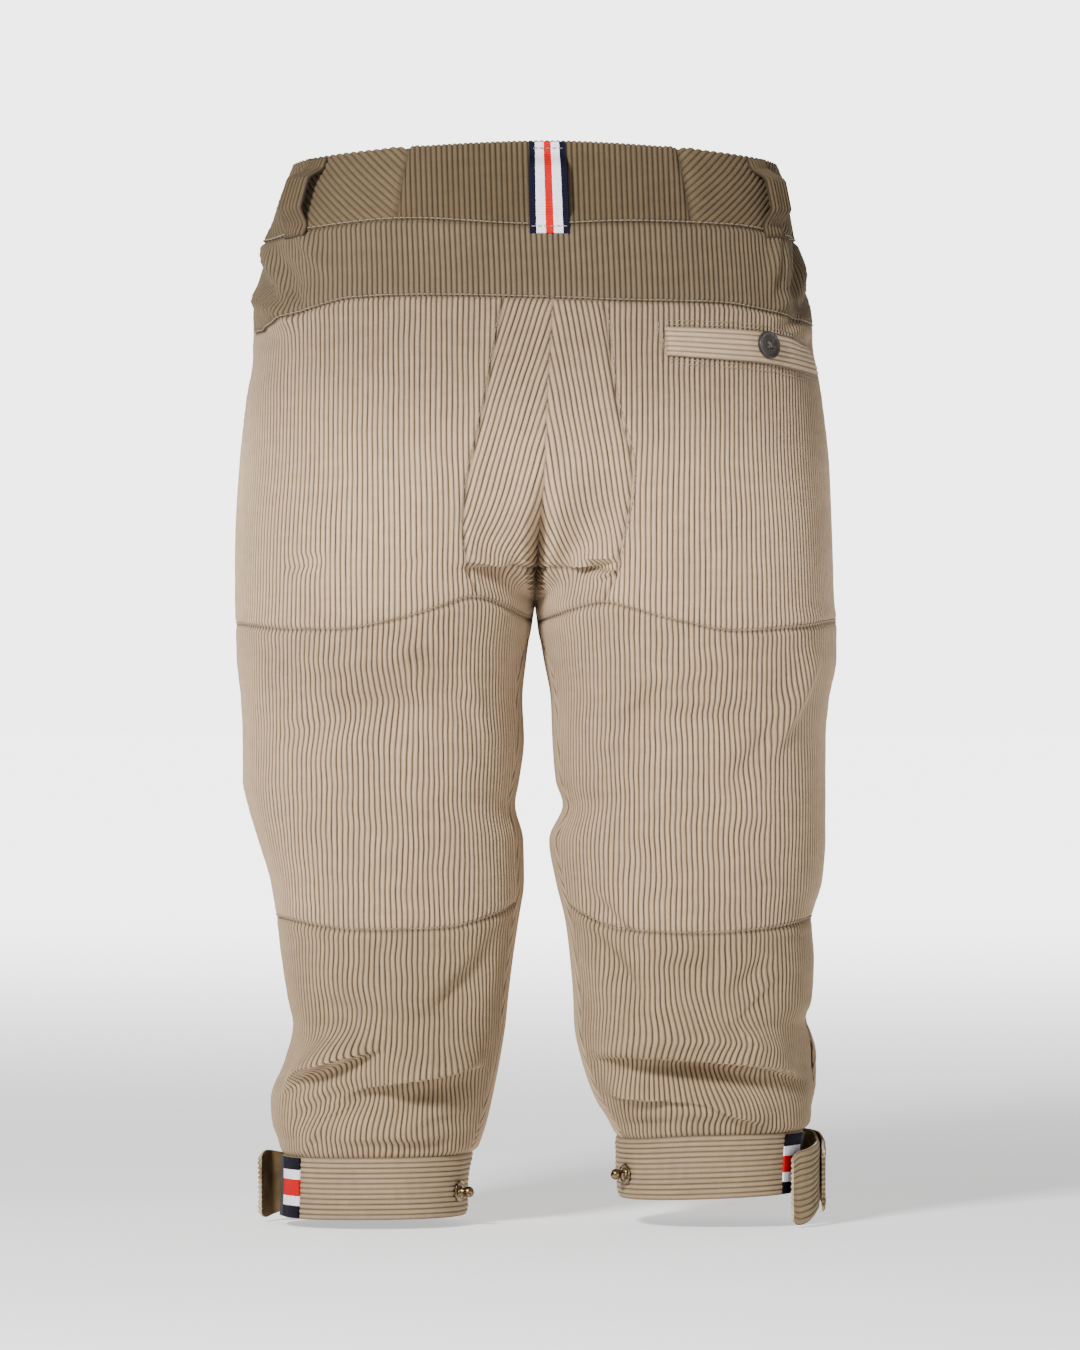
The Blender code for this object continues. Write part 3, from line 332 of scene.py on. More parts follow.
WELT_WALES = 6
WELT_ENDS = (0.079, 0.170)
WELT_LEVEL = -0.105
WELT_TOP = ((0.079, -0.0940), (0.128, -0.0950), (0.170, -0.1015))
WELT_HEIGHT = ((0.079, 0.0178), (0.128, 0.0195), (0.170, 0.0190))
POCKET_BUTTON_AT = (0.139, -0.1045)
BUTTON_RADIUS = 0.0085
BUTTON_THICKNESS = 0.003
BUTTON_ROUNDING = 0.0007
BUTTON_SHANK = 0.0006  # thread between the button and the cloth
BUTTON_DISH = 0.0006  # how deep its face is dished
BUTTON_HOLE_AT = 0.0017
BUTTON_HOLE_RADIUS = 0.0008
BUTTON_HOLE_DEPTH = 0.0016
THREAD_RADIUS = 0.00024
THREAD_APART = 0.00028
FLY_HALF_WIDTH = 0.019
FLY_HEIGHTS = (-0.0455, -0.158)
WAIST_BUTTON_AT = (0.014, -0.019)

CUFF_SLOT = {LEFT: 0.035, RIGHT: 0.020}  # share of the way round left open in front of the side
CUFF_WALES = 12
CUFF_RIBBON_WIDTH = 0.020
TAPE_WIDTH = 0.012
TRIM_INSET = 0.0006  # how far ribbon and tape stop short of the cuff's edges
TRIM_START = 0.034  # share of the way round from the side to the tape
TRIM_GAP = 0.002  # the same, from the tape to the ribbon
TAB_INSET = 0.0008  # how far the strap ends stop short of them where they are sewn on
STUD_AT = {LEFT: (-0.0475, -0.6215), RIGHT: (0.0565, -0.6105)}  # across, height
STUD_BALL, STUD_BALL_AT = 0.0035, 0.0068  # the ball's radius, and how far out its middle lies
STUD_PLATE = (  # distance out along the stud, and radius, from the plate's rim to the ball's neck
    (0.0000, 0.0058), (0.0003, 0.0062), (0.0008, 0.0065), (0.0013, 0.0063), (0.0016, 0.0058),
    (0.0015, 0.0052), (0.0014, 0.0045), (0.0015, 0.0038), (0.0021, 0.0034), (0.0024, 0.0030),
    (0.0027, 0.0026), (0.0034, 0.0024),
)

# The strap ends of the cuffs: sewn on from and to as shares, the distance off the cuff there, and
# then the free stretch, by the heights of its top and low edges at the end and by its plan.
CUFF_TABS = (
    # name, leg, from, to, distance off, top, low, plan as (across, along) points
    ("cuff_tab_left", LEFT, 0.425, 0.455, SEWN_ON, -0.5985, -0.6410,
     ((-0.1625, 0.015), (-0.1695, -0.004))),
    ("cuff_tab_right", RIGHT, 0.420, 0.465, SEWN_ON, -0.5965, -0.6425,
     ((0.1725, 0.004), (0.1735, -0.018), (0.1680, -0.038), (0.1570, -0.049))),
    ("cuff_tab_right_over", RIGHT, 0.422, 0.446, 2 * SEWN_ON + WALL, -0.5930, -0.6365,
     ((0.1755, 0.012), (0.1775, -0.006), (0.1770, -0.020))),
)
TAB_CORNER_ROUNDING = 0.16  # share of its height that a strap end loses at its rounded end
TAB_JAG = 0.0011  # how deep the grooves bite into a strap's cut end


# ---- curves and sections ----
def smooth(x, points):
    """A smooth curve through (x, y) points that never overshoots them, level past its ends."""
    xs, ys = np.array(sorted(points)).T
    step = np.diff(xs)
    slope = np.diff(ys) / step
    same_way = slope[1:] * slope[:-1] > 0
    total = np.where(same_way, slope[1:] + slope[:-1], 1.0)
    tangent = np.concatenate(
        [slope[:1], np.where(same_way, 2 * slope[1:] * slope[:-1] / total, 0.0), slope[-1:]]
    )
    x = np.clip(x, xs[0], xs[-1])
    i = np.clip(np.searchsorted(xs, x) - 1, 0, len(step) - 1)
    u = (x - xs[i]) / step[i]
    return (
        ys[i] * (1 + 2 * u) * (1 - u) ** 2
        + ys[i + 1] * u * u * (3 - 2 * u)
        + step[i] * (tangent[i] * u * (1 - u) ** 2 - tangent[i + 1] * u * u * (1 - u))
    )


def ease(u):
    u = np.clip(u, 0.0, 1.0)
    return u * u * (3 - 2 * u)


def column(table, index, height):
    return smooth(height, [(row[0], row[index]) for row in table])


def oval(angle, half_x, half_y, squareness):
    """The radius at this angle of an oval squared off a little, with the angle measured from +x."""
    across = np.abs(np.cos(angle) / half_x) ** squareness
    along = np.abs(np.sin(angle) / half_y) ** squareness
    return (across + along) ** (-1 / squareness)


def trunk_point(side, share, height):
    """A point of the half oval from the centre front round the side to the centre back."""
    angle = np.pi * share
    half_width = column(TRUNK, 1 if side == LEFT else 2, height)
    depth = np.where(share < SIDE, column(TRUNK, 4, height), column(TRUNK, 3, height))
    radius = oval(np.pi / 2 - angle, half_width, depth, TRUNK_SQUARENESS)
    return radius * np.sin(angle), radius * np.cos(angle)


def leg_point(side, share, height):
    """A point of the leg's closed oval, from the inseam round the front, side and back to it."""
    outer, inner, back, front = (column(LEG[side], i, height) for i in (1, 2, 3, 4))
    turn = np.radians(INSEAM_TURN) * ease((CROTCH - height) / 0.045)
    angle = np.where(
        share < SIDE,
        -turn + (np.pi + turn) * 2 * share,
        np.pi + (np.pi - turn) * (2 * share - 1),
    )
    half_width = (outer - inner) / 2
    radius = oval(angle, half_width, (back + front) / 2, LEG_SQUARENESS)
    return (outer + inner) / 2 - radius * np.cos(angle), (front - back) / 2 + radius * np.sin(angle)


def form(side, share, height):
    """The cloth's surface without folds. The rise seam opens the leg's oval into the trunk's."""
    share, height = np.broadcast_arrays(np.asarray(share, float), np.asarray(height, float))
    trunk_x, trunk_y = trunk_point(side, share, height)
    leg_x, leg_y = leg_point(side, share, height)
    below = np.clip((CROTCH + RISE_CURVE - height) / RISE_CURVE, 0, 1)
    at_seam = np.sqrt(1 - below**2)
    elsewhere = ease((height - CROTCH + 0.03) / (RISE_CURVE + 0.03))
    near_seam = np.exp(-((np.minimum(share, 1 - share) / RISE_SHARES) ** 2))
    trunk = elsewhere + (at_seam - elsewhere) * near_seam
    drift = smooth(height, CENTRE_BACK_DRIFT) * ease((share - 0.6) / 0.4)
    x = side * (leg_x + (trunk_x - leg_x) * trunk) + drift
    y = leg_y + (trunk_y - leg_y) * trunk
    return np.stack([x, y, height], -1)


def share_at(side, across, height, face="back"):
    """The share of the way round at which the surface lies at this distance across."""
    low, high = (SIDE, 1.0) if face == "back" else (SIDE, 0.0)
    for _ in range(40):
        middle = (low + high) / 2
        if side * form(side, middle, height)[0] > side * across:
            low = middle
        else:
            high = middle
    return (low + high) / 2


def facing(side, share, height, surface):
    """The outward unit normal of a surface(side, share, height)."""
    s, h = FACING_STEP
    ahead = np.clip(share + s, 0, 1)
    behind = np.clip(share - s, 0, 1)
    around = surface(side, ahead, height) - surface(side, behind, height)
    down = surface(side, share, height - h) - surface(side, share, height + h)
    normal = side * np.cross(around, down)
    return normal / np.linalg.norm(normal, axis=-1, keepdims=True)


def girth_at(side, share, height, surface):
    """The length of one whole share at a place."""
    ahead = surface(side, share + GIRTH_STEP, height)
    step = ahead - surface(side, share - GIRTH_STEP, height)
    return float(np.linalg.norm(step) / (2 * GIRTH_STEP))


def fold_places(folds):
    """Each fold with the share it lies at and the length of one whole share there."""
    places = []
    for (side, face), rows in folds.items():
        for across, height, half, slope, rise, width, *bow in rows:
            share = share_at(side, across, height, face)
            shape = half, slope, rise, width, bow[0] if bow else 0.0
            girth = girth_at(side, share, height, form)
            places.append((side, face, share, height, girth, shape))
    return places


def fold_lines(side, share, height, places):
    """For each fold of this leg: how far a place is over the fold's line, how strong the fold is
    there, its rise and its half width."""
    for leg, face, middle, level, girth, (half, slope, rise, width, bow) in places:
        if leg != side:
            continue
        way = -side if face == "back" else side
        right = way * (share - middle) * girth
        up = height - level
        angle = np.radians(slope)
        along = right * np.cos(angle) + up * np.sin(angle)
        over = up * np.cos(angle) - right * np.sin(angle) + bow * (along / half) ** 2
        fade = np.clip(1 - (along / half) ** 2, 0, 1) ** 1.5
        fade = fade * ease(np.clip(np.minimum(share, 1 - share) / FOLD_END, 0, 1))
        yield over, fade, rise, width


def fold_push(side, share, height):
    """How far the folds move the cloth out at a place."""
    push = np.zeros(np.broadcast(share, height).shape)
    for over, fade, rise, width in fold_lines(side, share, height, PLACES):
        steep = np.where((over > 0) == (rise > 0), FOLD_LEAN[0], FOLD_LEAN[1])
        push = push + FOLD_DEPTH * rise * fade * np.exp(-((over / width / steep) ** 2))
    return push


def step_push(side, share, height):
    """How far the overhanging folds move it: out above the line, in below it."""
    push = np.zeros(np.broadcast(share, height).shape)
    for over, fade, rise, width in fold_lines(side, share, height, STEP_PLACES):
        push = push + rise * fade * np.tanh(over / STEP_EDGE) * np.exp(-((over / width) ** 2))
    return push


def step_hang(side, share, height):
    """How far they let the cloth above their lines down over the cloth below."""
    drop = np.zeros(np.broadcast(share, height).shape)
    for over, fade, rise, _ in fold_lines(side, share, height, STEP_PLACES):
        above = 0.5 + 0.5 * np.tanh(over / STEP_EDGE)
        drop = drop + STEP_HANG[0] * rise * fade * above * np.exp(-((over / STEP_HANG[1]) ** 2))
    return drop


PLACES = fold_places(FOLDS) + fold_places(SMALL_FOLDS)
STEP_PLACES = fold_places(STEPS)


def cleft(share, height):
    """The hollow between the two halves of the seat."""
    up = np.exp(-(((height - CLEFT_LEVEL) / CLEFT_REACH[0]) ** 2))
    up = up * ease((height - CLEFT_END[0]) / CLEFT_END[1])
    return CLEFT * up * np.exp(-(((1 - share) / CLEFT_REACH[1]) ** 2))


def cloth(side, share, height):
    """The outer surface of the cloth, folds and all."""
    share, height = np.broadcast_arrays(np.asarray(share, float), np.asarray(height, float))
    out = (fold_push(side, share, height) + step_push(side, share, height))[..., None]
    place = form(side, share, height) + facing(side, share, height, form) * out
    place[..., 1] += cleft(share, height)
    place[..., 2] -= step_hang(side, share, height)
    return place


def off_cloth(side, share, height, distance):
    """Points held this far off the cloth."""
    out = facing(side, share, height, cloth) * np.asarray(distance)[..., None]
    return cloth(side, share, height) + out


# ---- seam lines ----
def seam_height(line, side, share):
    """The height of a seam or edge at these shares."""
    front, across = line if isinstance(line[0], float) else (None, line)
    level = float(np.mean([point[1] for point in across]))
    share = np.asarray(share, float)
    at_back = smooth(form(side, np.maximum(share, SIDE), level)[..., 0], across)
    centre = smooth(form(side, 1.0, level)[0], across) if front is None else front
    at_front = centre + (at_back - centre) * ease(share / SIDE)
    return np.where(share < SIDE, at_front, at_back)


ABOVE_CROTCH = 2  # the stretch between the seat seam and the crotch line, in side_lines


def side_lines(side):
    """The lines between which the stretches of a leg lie, from the waist down."""
    return [
        WAIST_SEAM,
        YOKE_SEAM,
        SEAT_SEAM_LOW,
        CROTCH_LINE,
        THIGH_SEAM[side],
        KNEE_SEAM[side],
        CUFF_TOP[side],
    ]


# ---- the leg's surface, finer than its solids ----
def unit(vector):
    return vector / np.maximum(np.linalg.norm(vector, axis=-1, keepdims=True), 1e-12)


def slit_gape(side, share, height):
    """How far the front panel's edge stands out along the right leg's side slit."""
    if side == LEFT:
        return np.zeros_like(share)
    up = np.clip(1 - ((height - SLIT_MIDDLE) / SLIT_HALF_HEIGHT) ** 2, 0, 1) ** 1.5
    return SLIT_GAPE * up * ease(1 - np.abs(SIDE - share) / SLIT_REACH)


def front_cloth(side, share, height, part=1.0):
    """The cloth of the front panel, which gapes at the side slit."""
    gape = slit_gape(side, np.asarray(share, float), np.asarray(height, float)) * part
    return cloth(side, share, height) + facing(side, share, height, form) * gape[..., None]


def back_cloth(side, share, height):
    """The cloth of a back panel, whose edge follows the front's along the slit."""
    return front_cloth(side, share, height, SLIT_BACK)


# ---- weaving ----
WALE = 0.0033  # from one cord to the next
STRANDS = 8  # columns to a cord
RELIEF = 0.0010  # from the bottom of a groove to the top of a cord
ROW_STEP = 0.0042  # along a cord
FINE_STEP = 0.0016  # the same, where the cloth is folded most
STATIONS = {"front": 190, "back": 150, "seat": 46}
EDGE_ROWS = (0.0, 0.0007, 0.0015, 0.0025, 0.0038)  # rows beside a seam
SEAM_DIP = 0.0011
SEAM_DIP_WIDTH = 0.0017
SEAM_PUFF = 0.0005
SEAM_PUFF_AT, SEAM_PUFF_WIDTH = 0.0052, 0.003  # how far from the seam
BAND_DIP = 0.6  # share of the dip and the puff at the edges of cuffs, loops, welt and strap ends
FOLDED_TILT = (1.3, 0.8, 0.4)  # how far the pile turns up on the rows beside a folded edge

INNER_EVERY = 4  # stations of the back of the cloth are taken this far apart
PILE_END = 0.0009  # distance from a cut edge over which the cords rise to their height
PILE_AT_END = 0.15  # and their height at the edge itself, as a share

CORDUROY, INSIDE = 0, 1  # material slots of a woven piece


def cord(wales):
    """Height of the pile at this many wales across: a round cord between narrow grooves."""
    return RELIEF * (np.abs(np.sin(np.pi * wales)) ** 0.8 - 0.66)


def pile_fade(distance):
    """How much of a cord's height is left this far from an edge."""
    return ease(distance / PILE_END) * (1 - PILE_AT_END) + PILE_AT_END


def seam_shape(distance):
    """How the cloth dips into a seam this far away and puffs up beside it."""
    dip = SEAM_DIP * np.exp(-((distance / SEAM_DIP_WIDTH) ** 2))
    return SEAM_PUFF * np.exp(-(((distance - SEAM_PUFF_AT) / SEAM_PUFF_WIDTH) ** 2)) - dip


def wander(side, along, height, amount):
    """How far the wales stray sideways from straight lines, by up to about this amount."""
    turn = 2 * np.pi
    slow = np.sin(turn * (height / 0.088 + 0.9 * np.sin(turn * along / 0.23 + side)) + 1.3 * side)
    slow = slow * (0.55 + 0.45 * np.sin(turn * (along / 0.11 + height / 0.31) + 0.6))
    middle = np.sin(turn * (height / 0.047 - along / 0.19) + 2.6 * side)
    middle = middle * np.clip(np.sin(turn * (along / 0.083 - height / 0.17) + 1.9), 0, 1)
    quick = np.sin(turn * (height / 0.021 + along / 0.067) + 2.1 * side)
    return amount * (0.6 * slow + 0.5 * middle + 0.12 * quick)


class Body:
    """Vertices, faces and weave coordinates of one closed piece in the making."""

    def __init__(self):
        self.points, self.weave, self.faces, self.kinds, self.count = [], [], [], [], 0

    def put(self, points, weave):
        """Adds vertices, and returns their numbers."""
        first = self.count
        self.points.append(points)
        self.weave.append(weave)
        self.count += len(points)
        return np.arange(first, self.count)

    def face(self, triangles, kind):
        self.faces.append(np.asarray(triangles).reshape(-1, 3))
        self.kinds.append(np.full(len(self.faces[-1]), kind))

    def stitch(self, above, below, kind, turned=False):
        """Fills the strip between two chains, each (place along, vertex) arrays, left to right."""
        (along_a, a), (along_b, b) = above, below
        order = np.argsort(np.concatenate([along_a[1:], along_b[1:]]), kind="stable")
        upper = order < len(a) - 1
        i = np.cumsum(upper) - upper
        j = np.cumsum(~upper) - (~upper).astype(int)
        third = np.where(upper, a[np.minimum(i + 1, len(a) - 1)], b[np.minimum(j + 1, len(b) - 1)])
        made = np.stack([a[i], b[j], third], 1)
        self.face(made[:, ::-1] if turned else made, kind)

    def close_end(self, outer_above, outer_below, inner_above, inner_below):
        """Closes the rim between two rows with the outside's cloth."""
        first = [outer_below, outer_above, inner_above]
        self.face([first, [outer_below, inner_above, inner_below]], CORDUROY)


class Row:
    """One row of cloth: stations with points, normals, places across the wales and depths."""

    def __init__(self, points, normals, along, height, depth):
        self.points, self.normals = points, normals
        self.along, self.height, self.depth = along, height, depth

    def at(self, along):
        """The row's points, normals, heights and depths at these places across the wales."""
        pick = lambda values: np.interp(along, self.along, values)
        points = np.stack([pick(self.points[:, k]) for k in range(3)], -1)
        normals = unit(np.stack([pick(self.normals[:, k]) for k in range(3)], -1))
        return points, normals, pick(self.height), pick(self.depth)


def chains(body, row, first, last):
    """Puts one row's outer and inner vertices between two stations, and returns both chains."""
    low, high = row.along[first], row.along[last]
    step = WALE / STRANDS
    gap = 0.3 * step
    lattice = np.arange(np.ceil((low + gap) / step), np.floor((high - gap) / step) + 1)
    along = np.concatenate([[low], lattice * step, [high]])
    points, normals, height, depth = row.at(along)
    distance = np.minimum(np.minimum(along - low, high - along), depth)
    lift = cord(along / WALE) * pile_fade(distance) + seam_shape(distance)
    weave = np.stack([along / WALE, height, distance], -1)
    outer = along, body.put(points + normals * lift[:, None], weave)
    picked = np.unique(np.r_[np.arange(first, last, INNER_EVERY), last])
    inside = row.points[picked] - row.normals[picked] * WALL
    weave = np.stack([row.along[picked] / WALE, row.height[picked], np.zeros(len(picked))], -1)
    inner = row.along[picked], body.put(inside, weave)
    return outer, inner


def weave_blocks(blocks):
    """A closed shell of blocks of rows, each (rows, first station, last station).

    A block after the first is wider on the side of the low stations, and begins on the last row of
    the block before it.
    """
    body = Body()
    above = None
    for number, (rows, first, last) in enumerate(blocks):
        for k, row in enumerate(rows):
            if k == 0 and number > 0:
                outer, inner = chains(body, row, first, blocks[number - 1][1])
                # The new stretch of edge gets its rim before it joins the row above.
                join = above
                outer = (outer[0], np.r_[outer[1][:-1], join[0][1][0]])
                inner = (inner[0], np.r_[inner[1][:-1], join[1][1][0]])
                body.stitch(inner, outer, CORDUROY)
                above = tuple(
                    (np.r_[new[0][:-1], old[0]], np.r_[new[1][:-1], old[1]])
                    for new, old in zip((outer, inner), join)
                )
                continue
            outer, inner = chains(body, row, first, last)
            if above is None:
                body.stitch(inner, outer, CORDUROY)
            else:
                body.stitch(above[0], outer, CORDUROY)
                body.stitch(above[1], inner, INSIDE, turned=True)
                old, new = (above[0][1], above[1][1]), (outer[1], inner[1])
                body.close_end(old[0][0], new[0][0], old[1][0], new[1][0])
                body.close_end(new[0][-1], old[0][-1], new[1][-1], old[1][-1])
            above = outer, inner
    body.stitch(above[0], above[1], CORDUROY)
    return body


def grid_body(outer, inner, weave, kinds=(CORDUROY, INSIDE)):
    """A closed shell between two grids; kinds are the materials of outside, inside and rim."""
    body = Body()
    rows, columns = outer.shape[:2]
    number_out = body.put(outer.reshape(-1, 3), weave.reshape(-1, 3)).reshape(rows, columns)
    number_in = body.put(inner.reshape(-1, 3), weave.reshape(-1, 3)).reshape(rows, columns)
    for number, kind, turned in ((number_out, kinds[0], False), (number_in, kinds[1], True)):
        a, b, c, d = number[:-1, :-1], number[1:, :-1], number[1:, 1:], number[:-1, 1:]
        faces = np.concatenate([np.stack([a, b, c], -1), np.stack([a, c, d], -1)], 0).reshape(-1, 3)
        body.face(faces[:, ::-1] if turned else faces, kind)
    a, d = (np.r_[g[0], g[1:, -1], g[-1, -2::-1], g[-2:0:-1, 0]] for g in (number_out, number_in))
    b, c = np.roll(a, -1), np.roll(d, -1)
    rim = kinds[2] if len(kinds) > 2 else kinds[0]
    body.face(np.concatenate([np.stack([a, b, c], -1), np.stack([a, c, d], -1)]), rim)
    return body


def mesh_of(name, body, materials, smooth_angle):
    """Turns a body into a mesh, facing out, with its weave coordinates as an attribute."""
    points = np.concatenate(body.points)
    weave = np.concatenate(body.weave)
    faces = np.concatenate(body.faces)
    kinds = np.concatenate(body.kinds)
    i, j, k = faces.T
    keep = (i != j) & (j != k) & (i != k)
    faces, kinds = faces[keep], kinds[keep]
    a, b, c = (points[faces[:, corner]] for corner in range(3))
    if np.einsum("ij,ij->i", a, np.cross(b, c)).sum() < 0:
        faces = faces[:, ::-1]
    mesh = bpy.data.meshes.new(name)
    mesh.vertices.add(len(points))
    mesh.vertices.foreach_set("co", points.astype(np.float32).ravel())
    mesh.loops.add(faces.size)
    mesh.loops.foreach_set("vertex_index", faces.astype(np.int32).ravel())
    mesh.polygons.add(len(faces))
    mesh.polygons.foreach_set("loop_start", np.arange(0, faces.size, 3, dtype=np.int32))
    mesh.polygons.foreach_set("loop_total", np.full(len(faces), 3, np.int32))
    mesh.polygons.foreach_set("material_index", kinds.astype(np.int32))
    mesh.update(calc_edges=True)
    mesh.validate()
    attribute = mesh.attributes.new("weave", "FLOAT_VECTOR", "POINT")
    attribute.data.foreach_set("vector", weave.astype(np.float32).ravel())
    for item in materials:
        mesh.materials.append(item)
    mesh.shade_smooth()
    if smooth_angle:
        mesh.set_sharp_from_angle(angle=np.radians(smooth_angle))
    return mesh


def placed(name, data):
    """An object of this mesh, light or camera in the scene."""
    thing = bpy.data.objects.new(name, data)
    bpy.context.scene.collection.objects.link(thing)
    return thing


def sided(name, side):
    return f"{name}_{'left' if side == LEFT else 'right'}"


def piece(name, body, materials, nodes=(), smooth_angle=50):
    """An object of the part, riding on its one body and standing for its nodes."""
    thing = placed(name, mesh_of(name, body, materials, smooth_angle))
    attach(thing, "root")
    if nodes:
        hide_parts(*nodes)
    return thing


# ---- materials ----
def linear(seen):
    return tuple(((value / 255 + 0.055) / 1.055) ** 2.4 for value in seen)


class Nodes:
    """A short way to write a material's nodes: each call makes a node and returns its output."""

    def __init__(self, name, roughness, **settings):
        self.material = bpy.data.materials.new(name)
        self.material.use_nodes = True
        self.tree = self.material.node_tree
        self.shader = self.tree.nodes["Principled BSDF"]
        self.shader.inputs["Roughness"].default_value = roughness
        for socket, value in settings.items():
            self.shader.inputs[socket.replace("_", " ")].default_value = value

    def node(self, kind, output=0, settings=None, **inputs):
        made = self.tree.nodes.new(kind)
        for key, value in (settings or {}).items():
            setattr(made, key, value)
        for key, value in inputs.items():
            numbered = key[0] == "i" and key[1:].isdigit()
            socket = made.inputs[int(key[1:]) if numbered else key]
            if isinstance(value, bpy.types.NodeSocket):
                self.tree.links.new(value, socket)
            else:
                socket.default_value = value
        return made.outputs[output]

    def math(self, operation, first, second=0.0, third=0.0):
        settings = {"operation": operation}
        return self.node("ShaderNodeMath", 0, settings, i0=first, i1=second, i2=third)

    def add(self, first, second):
        return self.math("ADD", first, second)

    def times(self, first, second):
        return self.math("MULTIPLY", first, second)

    def split(self, vector):
        made = self.tree.nodes.new("ShaderNodeSeparateXYZ")
        self.tree.links.new(vector, made.inputs[0])
        return made.outputs

    def vector(self, x=0.0, y=0.0, z=0.0):
        return self.node("ShaderNodeCombineXYZ", i0=x, i1=y, i2=z)

    def grey(self, value):
        return self.vector(value, value, value)

    def weave(self):
        return self.node("ShaderNodeAttribute", 1, {"attribute_name": "weave"})

    def place(self):
        return self.node("ShaderNodeTexCoord", 3)

    def noise(self, vector, scale, detail=2.0, roughness=0.5):
        how = dict(Scale=scale, Detail=detail, Roughness=roughness)
        return self.node("ShaderNodeTexNoise", Vector=vector, **how)

    def span(self, value, low, high, to_low=0.0, to_high=1.0, kind="SMOOTHSTEP"):
        settings = {"interpolation_type": kind}
        ends = dict(i1=low, i2=high, i3=to_low, i4=to_high)
        return self.node("ShaderNodeMapRange", 0, settings, i0=value, **ends)

    def blend(self, share, first, second, kind="MIX"):
        """A mix of two colours, each a socket or an (r, g, b) tuple."""
        settings = {"data_type": "RGBA", "blend_type": kind}
        first, second = ((*c, 1.0) if isinstance(c, tuple) else c for c in (first, second))
        return self.node("ShaderNodeMix", 2, settings, i0=share, i6=first, i7=second)

    def finish(self, colour, height=None, depth=0.0003, strength=0.6):
        self.tree.links.new(colour, self.shader.inputs["Base Color"])
        if height is not None:
            how = dict(Height=height, Distance=depth, Strength=strength)
            bump = self.node("ShaderNodeBump", **how)
            self.tree.links.new(bump, self.shader.inputs["Normal"])
        return self.material


def corduroy(name, cord_colour, groove_colour, depth=1.0, painted_shade_above=None):
    """Cut pile: pale cords, dark grooves with painted shade, and tufts that show as a fine grain.
    painted_shade_above is the height above which painted shade darkens the cloth, and the share
    of its colour left there."""
    tint = (*linear((226, 210, 190)), 1.0)
    sheen = dict(Sheen_Weight=0.08, Sheen_Roughness=0.5, Sheen_Tint=tint)
    made = Nodes(name, 0.92, Specular_IOR_Level=0.12, **sheen)
    across, along, edge = made.split(made.weave())
    offset = made.math("ABSOLUTE", made.math("SUBTRACT", made.math("FRACT", across), 0.5))
    tuft_at = made.vector(made.times(across, 3.2), made.times(along, 620.0))
    tufts = made.noise(tuft_at, 1.0, 3.0)
    frayed = made.add(offset, made.times(made.math("SUBTRACT", tufts, 0.5), 0.16))
    groove = made.times(made.span(frayed, 0.20, 0.47), depth)
    place = made.place()
    broad = made.noise(place, 9.0, 3.0)
    streak = made.noise(made.vector(across, made.times(along, 34.0)), 0.9, 2.0)
    groove = made.times(groove, made.span(streak, 0.2, 0.75, 0.68, 1.0))
    # painted shade: the grooves take the darker groove colour for the shade that falls into them
    colour = made.blend(groove, linear(cord_colour), linear(groove_colour))
    crush_at = made.vector(made.times(across, 0.16), made.times(along, 150.0))
    crushed = made.noise(crush_at, 1.0, 3.0)
    shade = made.span(broad, 0.3, 0.7, 0.91, 1.06)
    shade = made.add(shade, made.span(streak, 0.25, 0.75, -0.06, 0.06))
    shade = made.add(shade, made.span(crushed, 0.3, 0.7, -0.05, 0.04))
    # painted shade: above this height, where the cloth turns up towards the waist, its colour is
    # darkened
    if painted_shade_above:
        level, above = painted_shade_above
        height = made.split(place)[2]
        shade = made.times(shade, made.span(height, level - 0.05, level + 0.06, 1.0, above))
    shade = made.add(shade, made.span(tufts, 0.2, 0.8, -0.09, 0.09))
    # painted shade: the colour darkens within 2.2 mm of a seam or an edge, as shade in the seam's
    # dip
    seam = made.span(edge, 0.0, 0.0022, 0.72, 1.0)
    colour = made.blend(1.0, colour, made.grey(made.times(shade, seam)), "MULTIPLY")
    grain = made.noise(place, 1500.0, 2.0)
    return made.finish(colour, made.add(tufts, made.times(grain, 0.6)), 0.00022, 0.7)


def twill(name, light, dark):
    """The plain back of the cloth: fine slanting ribs."""
    made = Nodes(name, 0.95, Specular_IOR_Level=0.1)
    x, y, z = made.split(made.place())
    rib = made.math("SINE", made.times(made.add(made.add(x, y), z), 5200.0))
    mottle = made.noise(made.place(), 60.0, 3.0)
    colour = made.blend(made.span(mottle, 0.3, 0.7), linear(light), linear(dark))
    return made.finish(colour, rib, 0.00015, 0.5)


def grosgrain(name, stripes, axis, rib):
    """Ribbon in stripes, each (colour, where it ends as a share of the way), with fine cross ribs.
    The stripes follow one another along the weave's axis 0 or 1; rib says how close the ribs lie,
    and counts them along the weave's axis 1, or along its axis 0 where it is negative."""
    made = Nodes(name, 0.62, Specular_IOR_Level=0.06)
    parts = made.split(made.weave())
    wobble = made.times(made.math("SUBTRACT", made.noise(made.place(), 900.0), 0.5), 0.02)
    place = made.add(parts[axis], wobble)
    colour = None
    for seen, end in stripes:
        if colour is None:
            colour = made.blend(0.0, linear(seen), linear(seen))
        else:
            colour = made.blend(made.math("GREATER_THAN", place, start), colour, linear(seen))
        start = end
    wave = made.math("SINE", made.times(parts[1 if rib > 0 else 0], abs(rib)))
    worn = made.noise(made.place(), 420.0, 3.0)
    shade = made.add(made.span(worn, 0.25, 0.75, 0.90, 1.05), made.times(wave, 0.05))
    colour = made.blend(1.0, colour, made.grey(shade), "MULTIPLY")
    return made.finish(colour, wave, 0.0002, 0.6)


def horn(name):
    made = Nodes(name, 0.45, Coat_Weight=0.1)
    place = made.place()
    swirl = made.noise(place, 260.0, 4.0, 0.65)
    fleck = made.noise(place, 1400.0, 2.0)
    colour = made.blend(made.span(swirl, 0.35, 0.68), linear((30, 26, 24)), linear((60, 52, 47)))
    colour = made.blend(made.span(fleck, 0.6, 0.75, 0.0, 0.5), colour, linear((86, 77, 69)))
    return made.finish(colour, swirl, 0.0001, 0.3)


